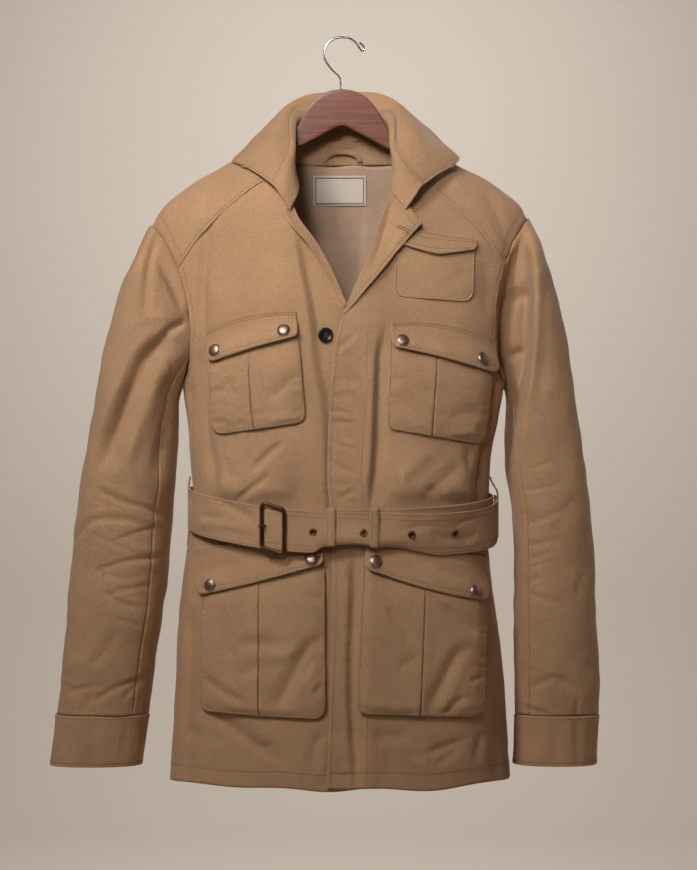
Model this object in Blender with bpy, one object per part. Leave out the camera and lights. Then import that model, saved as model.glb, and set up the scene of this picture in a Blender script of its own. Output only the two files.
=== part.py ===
"""Jungle jacket of tan cotton twill, hanging on a wooden hanger by the hanger's wire hook.

Sizes are in millimetres and become metres where points go into a mesh. The wearer's right is -X, the
front is -Y and the origin is the inside of the hook's crown. Every cloth piece is a sheet of points on
the garment's form, thickened to a wall; what lies on a panel is made from the panel's points, moved out.
"""
import bisect
import math
from collections import namedtuple

import bpy
from mathutils import Vector

MM = 0.001
RIGHT, LEFT = -1, 1
SIDE_NAME = {RIGHT: "right", LEFT: "left"}

# Walls and clearances
CLOTH_WALL = 1.4
FOLDED_WALL = 2.0
LINING_WALL = 1.0
SEAM_GAP = 0.3
SIDE_SEAM_GAP = 0.45
LAY_GAP = 0.6

# Levels of the body, from the hook down
HEM = -912.0
ARMPIT = -424.0

# The shoulder: how sharp its ridge is, and over what drop the cloth swings out to its full depth
RIDGE_RADIUS = 14.0
SHOULDER_FALL = 75.0
SQUARE = 2.6

# Half width on each side and depth in front of and behind the hanger, from the hem up
TorsoRow = namedtuple("TorsoRow", "level right left front back")
TORSO = [TorsoRow(*row) for row in (
    (-912, 212, 206, 108, 66),
    (-800, 205, 200, 105, 64),
    (-740, 202, 194, 102, 62),
    (-690, 199, 187, 99, 60),
    (-652, 194, 182, 97, 58),
    (-615, 188, 180, 95, 57),
    (-578, 184, 180, 94, 56),
    (-548, 184, 181, 94, 56),
    (-511, 187, 184, 96, 57),
    (-467, 191, 193, 98, 59),
    (-424, 196, 200, 100, 60),
    (-385, 200, 203, 100, 60),
    (-340, 208, 208, 98, 58),
    (-290, 222, 220, 95, 55),
    (-231, 243, 240, 92, 52),
    (-100, 300, 300, 88, 48),
)]

# Height of the shoulder ridge by distance from the middle
RidgeRow = namedtuple("RidgeRow", "reach level")
RIDGE = [RidgeRow(*row) for row in (
    (0, -80), (40, -95), (62, -113), (100, -132), (145, -158), (174, -173),
    (198, -189), (218, -205), (231, -222), (237, -231), (260, -275),
)]

# Inner edge of each front: its cut edge below the break, its roll line above
EdgeRow = namedtuple("EdgeRow", "level right left")
FRONT_EDGE = [EdgeRow(*row) for row in (
    (-912, 22, -18), (-800, 22, -14.5), (-690, 22, -11), (-590, 22, -13), (-540, 22, -17.5),
    (-444, 22, -14), (-384, 22, -8), (-360, 20, -3.5), (-338, 7, 3.8), (-287, -14.5, 26.5),
    (-230, -50, 46), (-204, -61, 57), (-190, -62.5, 61.5), (-168, -66, 66),
)]
NECK_FRONT = -168.0

# The overlapping front stands off the one below it near its edge
OVERLAP_LIFT = 4.0
OVERLAP_INNER = 28.0
OVERLAP_OUTER = 62.0

# Front yoke seam by distance from the middle, and the back yoke seam's level
SeamRow = namedtuple("SeamRow", "reach level")
FRONT_SEAM = [SeamRow(*row) for row in (
    (66, -168), (102, -184), (137, -212), (160, -234), (176, -252), (188, -270),
)]
BACK_SEAM = -236.0
# Share of the way up to the yoke seam at which the panels stop
PANEL_TOP = 0.995

# Neckline over the yoke: distance from the middle and drop position across the ridge, front to back
NeckRow = namedtuple("NeckRow", "share reach across")
NECKLINE = [NeckRow(*row) for row in (
    (0.0, 66, -0.98), (0.3, 65, -0.45), (0.5, 64, 0.0), (0.65, 56, 0.36), (0.8, 38, 0.64), (1.0, 0, 0.914),
)]
ACROSS_DROP = 55.0

# Large folds of the fronts: troughs push the cloth in, ridges (negative) out
Fold = namedtuple("Fold", "x_top z_top x_bottom z_bottom width depth")
FRONT_FOLDS = {
    RIGHT: [Fold(*row) for row in (
        (-40, -252, -14, -540, 20, 14),
        (14, -372, 14, -912, 24, 9),
        (-166, -400, -170, -560, 13, 8),
        (-178, -300, -172, -345, 14, 5),
        (-186, -700, -190, -912, 16, 6),
    )],
    LEFT: [Fold(*row) for row in (
        (50, -330, 38, -560, 13, 7),
        (182, -430, 176, -560, 13, 8),
        (10, -640, 12, -912, 13, 7),
        (184, -700, 190, -912, 15, 6),
    )],
}
FOLD_FADE = 30.0
FOLD_SIDE_FADE = 0.8
BACK_FOLDS = [Fold(*row) for row in (
    (-120, -300, -100, -560, 24, 7),
    (105, -320, 92, -560, 26, 8),
    (-60, -640, -84, -912, 26, 8),
    (70, -650, 96, -912, 24, 7),
)]

# Sleeve rings from the armhole to the cuff: outer and inner points, depths, and how far the ring bows
# in towards the body at its front and back
Ring = namedtuple("Ring", "out_x out_z in_x in_z front back bow")
SLEEVE = {
    RIGHT: [Ring(*row) for row in (
        (236.5, -231, 196, -424, 0, 0, 28),
        (254, -274, 200, -440, 66, 50, 18),
        (272, -310, 201, -456, 65, 52, 10),
        (288, -362, 201.5, -474, 63, 54, 4),
        (299, -415, 202.5, -497, 62, 55, 0),
        (309, -478, 203.5, -528, 60, 55, 0),
        (322, -550, 206.5, -565, 60, 52, 0),
        (330, -602, 210.5, -608, 58, 48, 0),
        (334, -660, 214.5, -660, 55, 44, 0),
        (339, -715, 221.5, -715, 52, 39, 0),
        (345, -780, 231.5, -780, 47, 33, 0),
        (351.7, -830.7, 237.6, -830.7, 42, 28, 0),
    )],
    LEFT: [Ring(*row) for row in (
        (231.5, -222, 200, -424, 0, 0, 26),
        (246, -262, 203.5, -440, 66, 50, 17),
        (259, -303, 203, -456, 65, 52, 10),
        (271, -350, 201.5, -476, 63, 54, 4),
        (281, -405, 200, -498, 62, 55, 0),
        (290, -470, 200.5, -530, 60, 55, 0),
        (302, -545, 206, -562, 60, 52, 0),
        (308, -602, 210.5, -606, 58, 48, 0),
        (311.5, -660, 211.3, -660, 55, 44, 0),
        (313, -715, 211.6, -715, 52, 39, 0),
        (317, -780, 212.2, -780, 47, 33, 0),
        (316, -830.7, 212.6, -830.7, 42, 28, 0),
    )],
}
# Large folds of the sleeves' fronts
SLEEVE_FOLDS = {
    RIGHT: [Fold(*row) for row in (
        (-226, -385, -284, -510, 17, 8),
        (-235, -262, -238, -300, 9, 4),
        (-262, -770, -300, -815, 14, 4),
    )],
    LEFT: [Fold(*row) for row in (
        (226, -280, 222, -315, 8, 11),
        (219, -330, 212, -350, 10, 10),
        (213, -380, 206, -500, 11, 12),
    )],
}
SLEEVE_GAP = 0.75
SLEEVE_SEAM_GAP = 1.6
CUFF = {
    RIGHT: [Ring(*row) for row in (
        (352.3, -831.3, 237.2, -831.3, 43, 29, 0),
        (356, -862, 241, -862, 41, 27, 0),
        (359.7, -894, 245.6, -894, 40, 26, 0),
    )],
    LEFT: [Ring(*row) for row in (
        (316.6, -831.3, 212.2, -831.3, 43, 29, 0),
        (315, -862, 211.5, -862, 41, 27, 0),
        (313.7, -893, 210.8, -893, 40, 26, 0),
    )],
}

CUFF_SIDES = 18

# Angles round the armhole, 0 at the shoulder tip, positive at the front: each list runs where one piece
# of the body meets the sleeve, and the sleeve uses the same points
FRONT_SEAM_ANGLE = 65.0
BACK_SEAM_ANGLE = -30.0
FRONT_SLEEVE_SEAM = 134.0
BACK_SLEEVE_SEAM = -120.0
ARMHOLE_STEPS = 5
YOKE_STEPS = 10

# Panel grids
FRONT_COLUMNS = 11
LOWER_ROWS = 14
BACK_COLUMNS = 14
NECK_STEPS = 12

# Collar, from the middle of the back to the front end of its left half: neck seam, middle of the stand,
# stand seam, middle of the fall and outer edge
CollarRow = namedtuple("CollarRow", "neck stand seam fall edge")
COLLAR = [CollarRow(*map(Vector, row)) for row in (
    ((0, 29.5, -123.3), (0, 30.5, -108), (0, 32, -92), (0, 42, -62), (0, 73, -103)),
    ((35, 22.2, -117), (36, 26, -106), (37, 28, -90), (46, 35, -63), (70, 57, -78)),
    ((60.4, 3, -110.2), (56.5, 4, -101), (63, 7, -93), (78, 15, -84), (102, 28, -104)),
    ((62.4, -43, -154), (60.5, -46, -146), (65, -46, -139), (91, -30, -122), (128, 4, -130)),
    ((62.5, -67, -189), (70, -72, -180), (79, -69, -167), (107, -48, -149), (143.5, -12, -146)),
    ((80, -79, -214), (89, -78, -201), (98, -72, -188), (121, -50, -170), (144, -24, -155)),
)]
COLLAR_STEPS = 14
COLLAR_SEAM = 2.0
COLLAR_SEAM_HALF = 0.02
COLLAR_EDGE = 4.0
# The right half is drawn in towards the front and hangs a little lower than the left
COLLAR_DRAW_IN = 15.0
COLLAR_SAG = 8.0
# Share of the length over which the front corner is rounded, and how deep
COLLAR_ROUND = 0.16
COLLAR_ROUND_DEPTH = 0.32
STAND_CELLS = 3
FALL_CELLS = 5

# Turned-out facings: outer edge from the break up, and how far they stand off the front
LapelRow = namedtuple("LapelRow", "share edge_x edge_z roll_x roll_z")
LAPELS = {
    RIGHT: [LapelRow(*row) for row in (
        (0.0, 2.0, -336, 6.0, -333), (0.3, -16, -304, -12, -291), (0.6, -39, -264, -31, -257),
        (0.85, -66, -231, -51.5, -228), (1.0, -69, -214, -61.5, -205),
    )],
    LEFT: [LapelRow(*row) for row in (
        (0.0, 1.0, -347, 4.5, -337), (0.25, 22, -324, 17, -307), (0.5, 52, -286, 29, -280),
        (0.75, 76, -258, 47, -228), (1.0, 93.5, -237.5, 62.5, -191),
    )],
}
LAPEL_STEPS = 9
LAPEL_CELLS = 3
LAPEL_LIFT_ROLL = 0.5
LAPEL_LIFT_EDGE = 9.0
LAPEL_LIFT_RUN = 0.8

# Patch pockets, seen from the front: edges at the left (0) and right (1), top and bottom
Pocket = namedtuple("Pocket", "name side x0_top x1_top x0_bottom x1_bottom z0_top z1_top z0_bottom z1_bottom "
                              "puff")
POCKETS = [Pocket(*row) for row in (
    ("chest_pocket_right", RIGHT, -161, -52, -156, -42, -388, -362, -487, -475, 4.5),
    ("chest_pocket_left", LEFT, 56.6, 183, 52, 172, -375, -399, -483, -498, 4.5),
    ("hip_pocket_right", RIGHT, -168, -20, -169.5, -19, -662, -632, -820, -826, 4.5),
    ("hip_pocket_left", LEFT, 25, 174, 16.5, 169, -637, -670, -820, -826, 4.5),
    ("upper_pocket_left", LEFT, 63, 161.5, 62.5, 159, -257, -261, -325, -329, 0.0),
)]
POCKET_CORNER = 13.0
POCKET_EDGE = 12.0
POCKET_TOP_RUN = 40.0
POCKET_TOP_SHARE = 0.15
POCKET_COLUMNS = 8
POCKET_ROWS = 6
CORNER_ROWS = 3

Flap = namedtuple("Flap", "name side x0_top x1_top x0_bottom x1_bottom z0_top z1_top z0_bottom z1_bottom "
                          "top_bow bottom_bow lift rise rise_from")
FLAPS = [Flap(*row) for row in (
    ("chest_flap_right", RIGHT, -163, -54, -158, -51, -364, -342, -400, -373, 8, 1, 0.5, 7.5, 0.25),
    ("chest_flap_left", LEFT, 57.8, 187.4, 59, 184, -355, -375.6, -385, -413, 9, 1.5, 0.5, 7.5, 0.25),
    ("hip_flap_right", RIGHT, -177, -21, -170, -22, -628, -598, -681, -645, 0, -1, 1.1, 6.9, 0.4),
    ("hip_flap_left", LEFT, 28, 175, 28, 172, -598, -630, -651, -689, 0, -3, 1.4, 6.6, 0.4),
    ("upper_flap_left", LEFT, 68, 163, 66, 162, -241, -254, -262, -267, 0, -12, 0.5, 3.6, -0.2),
)]
FLAP_COLUMNS = 10
FLAP_ROWS = 4
FLAP_RISE_END = 0.95

# Domed snaps: which flap each sits on, where, and how far its back stands off the flap's curve
Snap = namedtuple("Snap", "name flap x z lift")
SNAPS = [Snap(*row) for row in (
    ("snap_chest_right_outer", 0, -148, -387, 0.3), ("snap_chest_right_inner", 0, -67.6, -364.5, 0.5),
    ("snap_chest_left_inner", 1, 72.2, -376.5, 0.5), ("snap_chest_left_outer", 1, 165, -397, 0.3),
    ("snap_hip_right_outer", 2, -153, -670.5, 0.0), ("snap_hip_right_inner", 2, -35.8, -637.5, 0.4),
    ("snap_hip_left_inner", 3, 39, -640, 0.5), ("snap_hip_left_outer", 3, 155, -678, 0.0),
)]
SNAP_RADIUS = 7.6
SNAP_HEIGHT = 3.4
SNAP_RIM = 0.3
# Dome of a snap as shares of its radius and height
SNAP_DOME = ((0.0, 1.0), (0.55, 0.84), (0.9, 0.4))
SNAP_SIDES = 12
SNAP_STEP = 0.05
BUTTON_RADIUS = 9.2
BUTTON_HEIGHT = 3.2
BUTTON_SIDES = 16
BUTTON_LIFT = 1.5
# Section of the button as shares of its radius and height, from the dished middle out and under
BUTTON_SECTION = ((0.0, 0.62), (0.62, 0.62), (0.76, 1.0), (0.92, 0.9), (1.0, 0.5), (0.85, 0.0), (0.0, 0.0))
BUTTON_X, BUTTON_Z = -19.5, -369.5

# Belt: one strap from the buckle round the back, through the buckle and on to its tail. Angle 0 is the
# middle of the front and grows towards the wearer's left
BeltRow = namedtuple("BeltRow", "turn level lift")
BELT = [BeltRow(*row) for row in (
    (-20, -600, 9.4), (10, -600, 9.2), (45, -595, 9.0), (75, -590, 6.0), (90, -587, 3.6),
    (135, -582, 3.0), (180, -580, 3.0), (225, -579, 3.0), (270, -578, 3.6), (288, -579, 6.5),
    (310, -585, 10.0), (340, -598, 12.4), (360, -602, 13.0), (392, -603, 13.0), (425, -597, 12.6),
    (445, -590, 9.5), (456, -587, 8.0),
)]
BELT_WIDTH = 50.0
BELT_STEPS = 62
BELT_LEVEL = -600.0
BELT_AHEAD = 0.5
BUCKLE_X0, BUCKLE_X1 = -95.4, -68.6
BUCKLE_Z0, BUCKLE_Z1 = -570.5, -623.5
BUCKLE_SLANT = -5.5
BUCKLE_WIRE = 2.4
BUCKLE_CORNER = 5.0
BUCKLE_CORNER_STEPS = 3
BUCKLE_REST = 0.5
PRONG_WIRE = 1.3
PRONG_OVER = 0.9
# The prong's tip from inside the frame to past its outer bar, from that bar
PRONG_INSIDE, PRONG_BEND, PRONG_BAR, PRONG_PAST = 8.0, 5.0, 2.0, -4.0
PRONG_BEND_RISE = 2.2
EYELET_XS = (-33.4, 25.4, 80.6, 129.8)
EYELET_RADIUS = 3.7
EYELET_WIRE = 1.2
EYELET_REST = 0.3
EYELET_SIDES = 12
KEEPER_XS = (-13.0, 38.6)
KEEPER_WIDTH = 10.5
KEEPER_WALL = 1.2
KEEPER_ROOM = 1.4
KEEPER_GAP = 0.5
LOOP_WIDTH = 13.0
LOOP_ROOM = 2.0
LOOP_TOP, LOOP_BOTTOM = -540.0, -625.0
LOOP_STEPS = 12
# How far past the belt the loop stays out, and over what run it comes in
LOOP_BRIDGE = 11.0
LOOP_RUN = 8.0

# Inside of the neck
LINING_HALF_BOTTOM, LINING_HALF_TOP = 135.0, 86.0
LINING_ROWS, LINING_COLUMNS = 9, 10
LINING_BOTTOM = -440.0
LINING_TOP = -151.5
LINING_BELOW_RIDGE = 26.0
LINING_SET_IN = 2.2
FACING_REACH = 50.0
FACING_SET_IN = 1.7
FACING_TOP = -127.5
FACING_RISE = 8.0
FACING_ROWS = 2
LABEL_X0, LABEL_X1 = -36.0, 30.0
LABEL_TOP, LABEL_BOTTOM = -166.0, -203.0
LABEL_ROWS, LABEL_COLUMNS = 3, 4
LABEL_GAP = 0.7
HANG_LOOP_REACH = 25.0
HANG_LOOP_TOP, HANG_LOOP_BOTTOM = -134.0, -149.0
HANG_LOOP_WIDTH = 6.0
HANG_LOOP_STEPS = 10
HANG_LOOP_GAP = 0.6
HANG_LOOP_LEAN = 2.0

# Hanger
HANGER_HALF_THICK = 6.0
HANGER_CLEAR = 3.8
HANGER_SEAT = 84.0
HANGER_END = 198.0
HANGER_END_NOSE = 1.0
HANGER_END_DROP = 8.0
HANGER_STEPS = 7
HANGER_ROUND = 3.5
HANGER_ROUND_STEPS = 2
HANGER_ROUND_ANGLE = 60.0
HangerRow = namedtuple("HangerRow", "reach level")
HANGER_CROWN = [HangerRow(*row) for row in (
    (0, -63), (15, -65.5), (30, -73.5), (44, -90), (54, -109), (62, -122),
)]
HANGER_LOWER = [HangerRow(*row) for row in (
    (0, -107.5), (60, -138), (105, -162), (150, -187), (190, -212),
)]
HOOK_WIRE = 1.4
HookRow = namedtuple("HookRow", "x z")
HOOK = [HookRow(*row) for row in (
    (-1.4, -62.7), (-1.4, -54), (-2.8, -48.5), (-6, -44), (-11.7, -39), (-17, -32.5), (-20.6, -26),
    (-21.7, -19), (-20.9, -12.5), (-18, -7), (-12.8, -2.2), (-5.5, 0.8), (1.5, 1.4), (8.4, 0.6),
    (13.5, -2), (17.7, -5.6), (20.3, -9.4), (22.2, -13), (25, -15.2), (27.6, -13.4), (26.6, -9.4),
    (21.6, -4.6),
)]


def read_table(rows, key, column):
    """Value of a column at a key, on a smooth curve through the table's rows."""
    keys = [row[0] for row in rows]
    values = [getattr(row, column) for row in rows]
    last = len(rows) - 1
    key = min(max(key, keys[0]), keys[last])
    i = min(max(bisect.bisect_right(keys, key) - 1, 0), last - 1)

    def slope(j):
        low, high = max(j - 1, 0), min(j + 1, last)
        return (values[high] - values[low]) / (keys[high] - keys[low])

    step = keys[i + 1] - keys[i]
    t = (key - keys[i]) / step
    return (values[i] * (1 + 2 * t) * (1 - t) ** 2 + slope(i) * step * t * (1 - t) ** 2
            + values[i + 1] * t * t * (3 - 2 * t) + slope(i + 1) * step * t * t * (t - 1))


def blend(a, b, share):
    return a + (b - a) * share


def soft_step(value, low, high):
    """0 below low, 1 above high, smooth between."""
    t = min(max((value - low) / (high - low), 0.0), 1.0)
    return t * t * (3 - 2 * t)


def side_of(x):
    return RIGHT if x < 0 else LEFT


# The garment's form


def half_width(side, z):
    return read_table(TORSO, z, SIDE_NAME[side])


def ridge(x):
    return read_table(RIDGE, abs(x), "level")


def depth(face, x, z):
    """Distance of the body's cloth in front of or behind the hanger's plane."""
    share = min(abs(x) / half_width(side_of(x), z), 1.0)
    rim = (1 - share ** SQUARE) ** (1 / SQUARE)
    drop = max(ridge(x) - z, 0.0)
    near = math.exp(-drop / SHOULDER_FALL)
    crest = RIDGE_RADIUS * math.sqrt(1 - math.exp(-drop / RIDGE_RADIUS)) * min(1.0, 3 * rim)
    return crest * near + read_table(TORSO, z, face) * rim * (1 - near)


def fold_depth(folds, x, z):
    """How far the folds together push the cloth in at a point."""
    push = 0.0
    for fold in folds:
        run_x, run_z = fold.x_bottom - fold.x_top, fold.z_bottom - fold.z_top
        length = math.hypot(run_x, run_z)
        along = ((x - fold.x_top) * run_x + (z - fold.z_top) * run_z) / length
        across = ((x - fold.x_top) * run_z - (z - fold.z_top) * run_x) / length
        past = max(-along, along - length, 0.0)
        push += fold.depth * math.exp(-(across / fold.width) ** 2 - (past / FOLD_FADE) ** 2)
    return push


def fold_push(folds, x, z):
    """The body's folds, which die out at the side seams."""
    return fold_depth(folds, x, z) * (1 - soft_step(abs(girth_of(x, z)), FOLD_SIDE_FADE, 1.0))


def front_y(side, x, z):
    """The fronts' outer surface without folds; the left front is lifted where it overlaps."""
    lift = 0.0
    if side == LEFT:
        lift = OVERLAP_LIFT * (1 - soft_step(x, OVERLAP_INNER, OVERLAP_OUTER))
    return -depth("front", x, z) - lift


def front_point(side, x, z):
    """The fronts' outer surface with its folds."""
    return Vector((x, front_y(side, x, z) + fold_push(FRONT_FOLDS[side], x, z), z))


def way_out(surface, side, x, z):
    """Outward normal of a front surface that gives y."""
    step = 2.0
    slope_x = (surface(side, x + step, z) - surface(side, x - step, z)) / (2 * step)
    slope_z = (surface(side, x, z + step) - surface(side, x, z - step)) / (2 * step)
    return Vector((slope_x, -1.0, slope_z)).normalized()


def on_front(side, x, z, lift):
    """Point lifted off the smooth front along its normal."""
    return Vector((x, front_y(side, x, z), z)) + way_out(front_y, side, x, z) * lift


def turn_of(x, z):
    """Angle round the body, 0 at the middle and 90 degrees at the side, of a point at x."""
    side = side_of(x)
    share = min(abs(x) / half_width(side, z), 1.0)
    return side * math.degrees(math.asin(share ** (SQUARE / 2)))


def x_at_turn(turn, z):
    side = side_of(turn)
    return side * half_width(side, z) * abs(math.sin(math.radians(turn))) ** (2 / SQUARE)


def girth_of(x, z):
    """Share of the way from the middle to the side, which grows evenly over the cloth."""
    return side_of(x) * (abs(turn_of(x, z)) / 90.0) ** (2 / SQUARE)


def x_at_girth(girth, z):
    return x_at_turn(side_of(girth) * 90.0 * min(abs(girth), 1.0) ** (SQUARE / 2), z)


def ring_point(ring, side, angle):
    """Point of a sleeve ring: 0 at its outer point, 180 degrees at its inner, positive in front."""
    cos, sin = math.cos(math.radians(angle)), math.sin(math.radians(angle))
    mid_x, mid_z = (ring.out_x + ring.in_x) / 2, (ring.out_z + ring.in_z) / 2
    x = mid_x + cos * (ring.out_x - mid_x) - ring.bow * abs(sin) ** 1.5
    z = mid_z + cos * (ring.out_z - mid_z)
    y = -sin * (ring.front if sin > 0 else ring.back)
    return Vector((side * x, y, z))


def armhole_point(side, angle):
    """Point of the armhole, on the body's surface."""
    point = ring_point(SLEEVE[side][0], side, angle)
    face = "front" if angle > 0 else "back"
    way = -1 if angle > 0 else 1
    point.y = way * depth(face, point.x, point.z)
    return point


def spread(first, last, count):
    return [blend(first, last, i / count) for i in range(count + 1)]


def coons(bottom, top, start, end, s, t):
    """Point inside four edge curves: bottom and top by s, start and end by t."""
    ruled = bottom(s) * (1 - t) + top(s) * t + start(t) * (1 - s) + end(t) * s
    corners = (bottom(0) * (1 - s) + bottom(1) * s) * (1 - t) + (top(0) * (1 - s) + top(1) * s) * t
    return ruled - corners


# Making objects


def material(name, colour, roughness, metallic=0.0):
    mat = bpy.data.materials.new(name)
    mat.use_nodes = True
    shader = mat.node_tree.nodes["Principled BSDF"]
    shader.inputs["Base Color"].default_value = (*colour, 1.0)
    shader.inputs["Roughness"].default_value = roughness
    shader.inputs["Metallic"].default_value = metallic
    return mat


def add_object(name, data, mat):
    data.materials.append(mat)
    thing = bpy.data.objects.new(name, data)
    bpy.context.collection.objects.link(thing)
    return thing


def cloth(name, rows, outside, wall, mat, inward=True, ring=False):
    """A sheet through rows of points, thickened to a wall on the inner or outer side of the points.

    outside is a direction that points out of the garment at the middle of the sheet.
    """
    count = len(rows[0])
    points = [point * MM for row in rows for point in row]
    faces = []
    for i in range(len(rows) - 1):
        for j in range(count if ring else count - 1):
            k = (j + 1) % count
            faces.append((i * count + j, i * count + k, (i + 1) * count + k, (i + 1) * count + j))
    i, j = (len(rows) - 1) // 2, (count - 1) // 2
    normal = (rows[i][j + 1] - rows[i][j]).cross(rows[i + 1][j] - rows[i][j])
    if normal.dot(outside) < 0:
        faces = [face[::-1] for face in faces]
    mesh = bpy.data.meshes.new(name)
    mesh.from_pydata(points, [], faces)
    mesh.shade_smooth()
    thing = add_object(name, mesh, mat)
    thicken = thing.modifiers.new("wall", "SOLIDIFY")
    thicken.thickness = wall * MM
    thicken.offset = -1.0 if inward else 1.0
    thicken.use_even_offset = True
    thicken.use_quality_normals = True
    return thing


def wire(name, points, radius, mat, closed=False, sides=2):
    """A round wire along points."""
    curve = bpy.data.curves.new(name, "CURVE")
    curve.dimensions = "3D"
    curve.bevel_depth = radius * MM
    curve.bevel_resolution = sides
    curve.use_fill_caps = not closed
    line = curve.splines.new("POLY")
    line.points.add(len(points) - 1)
    for knot, point in zip(line.points, points):
        knot.co = (*(point * MM), 1.0)
    line.use_cyclic_u = closed
    return add_object(name, curve, mat)


def turned_mesh(name, profile):
    """A turned piece from a profile of (radius, height) points, top to bottom."""
    mesh = bpy.data.meshes.new(name)
    points = [(radius * MM, 0.0, height * MM) for radius, height in profile]
    mesh.from_pydata(points, [(i, i + 1) for i in range(len(points) - 1)], [])
    return mesh


def turned(name, mesh, sides, place, axis, mat):
    if not mesh.materials:
        mesh.materials.append(mat)
    thing = bpy.data.objects.new(name, mesh)
    bpy.context.collection.objects.link(thing)
    thing.location = place * MM
    thing.rotation_mode = "QUATERNION"
    thing.rotation_quaternion = axis.to_track_quat("Z", "Y")
    screw = thing.modifiers.new("turn", "SCREW")
    screw.steps = sides
    screw.render_steps = sides
    screw.use_merge_vertices = True
    screw.merge_threshold = 0.00001
    return thing


# Body panels


def front_edge_point(side, z):
    return Vector((girth_of(read_table(FRONT_EDGE, z, SIDE_NAME[side]), z), z))


def front_seam(side, share):
    """Front yoke seam from the neck (0) to the armhole (1), as x and level."""
    end = armhole_point(side, FRONT_SEAM_ANGLE)
    rows = FRONT_SEAM + [SeamRow(abs(end.x), end.z)]
    reach = blend(rows[0].reach, rows[-1].reach, share)
    return side * reach, read_table(rows, reach, "level")


def front_panel(side, mat):
    """A front from its hem to the yoke seam: even rows up to the armpit, then up along the armhole."""
    def level_line(z):
        inner = front_edge_point(side, z)
        return lambda s: Vector((blend(inner.x, side, s), z))

    def seam_line(s):
        x, z = front_seam(side, s)
        return Vector((girth_of(x, z), z))

    def armhole(t):
        point = armhole_point(side, blend(180.0, FRONT_SEAM_ANGLE, t))
        return Vector((girth_of(point.x, point.z), point.z))

    def flat_to_form(spot):
        return front_point(side, x_at_girth(spot.x, spot.y), spot.y)

    rows = []
    columns = spread(0.0, 1.0, FRONT_COLUMNS)
    for t in spread(0.0, 1.0, LOWER_ROWS):
        z = blend(HEM, ARMPIT, t)
        rows.append([flat_to_form(level_line(z)(s)) for s in columns])
    for t in spread(0.0, 1.0, ARMHOLE_STEPS)[1:]:
        up = min(t, PANEL_TOP)
        rows.append([flat_to_form(coons(
            level_line(ARMPIT), seam_line,
            lambda u: front_edge_point(side, blend(ARMPIT, NECK_FRONT, u)), armhole, s, up))
            for s in columns])
    for row in rows:
        row[-1].y -= SIDE_SEAM_GAP
    return cloth("front_" + SIDE_NAME[side], rows, Vector((0, -1, 0)), CLOTH_WALL, mat)


def back_y(x, z):
    """The back's outer surface with its folds."""
    return depth("back", x, z) - fold_push(BACK_FOLDS, x, z)


def back_panel(mat):
    def seam_line(s):
        x = blend(armhole_point(RIGHT, BACK_SEAM_ANGLE).x, armhole_point(LEFT, BACK_SEAM_ANGLE).x, s)
        z = back_seam_level(x)
        return Vector((girth_of(x, z), z))

    def armhole(side):
        def edge(t):
            point = armhole_point(side, blend(-180.0, BACK_SEAM_ANGLE, t))
            return Vector((girth_of(point.x, point.z), point.z))
        return edge

    def flat_to_form(spot):
        x, z = x_at_girth(spot.x, spot.y), spot.y
        return Vector((x, back_y(x, z), z))

    rows = []
    columns = spread(0.0, 1.0, BACK_COLUMNS)
    for t in spread(0.0, 1.0, LOWER_ROWS):
        z = blend(HEM, ARMPIT, t)
        rows.append([flat_to_form(Vector((blend(-1.0, 1.0, s), z))) for s in columns])
    for t in spread(0.0, 1.0, ARMHOLE_STEPS)[1:]:
        up = min(t, PANEL_TOP)
        rows.append([flat_to_form(coons(
            lambda u: Vector((blend(-1.0, 1.0, u), ARMPIT)), seam_line,
            armhole(RIGHT), armhole(LEFT), s, up)) for s in columns])
    for row in rows:
        row[0].y += SIDE_SEAM_GAP
        row[-1].y += SIDE_SEAM_GAP
    return cloth("back_panel", rows, Vector((0, 1, 0)), CLOTH_WALL, mat)


def back_seam_level(x):
    """The back yoke seam drops a little towards the armholes."""
    end = armhole_point(side_of(x), BACK_SEAM_ANGLE)
    return blend(BACK_SEAM, end.z, (x / end.x) ** 2)


def across_of(x, z, face):
    """Position across the shoulder ridge: 0 on it, negative in front."""
    root = math.sqrt(max(ridge(x) - z, 0.0) / ACROSS_DROP)
    return -root if face == "front" else root


def shoulder_point(x, across):
    z = ridge(x) - ACROSS_DROP * across * across
    way = -1 if across < 0 else 1
    return Vector((x, way * depth("front" if across < 0 else "back", x, z), z))


def neckline(side, share):
    """Neckline from the front yoke seam (0) to the middle of the back (1), as x and position across."""
    return Vector((side * read_table(NECKLINE, share, "reach"), read_table(NECKLINE, share, "across")))


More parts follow.
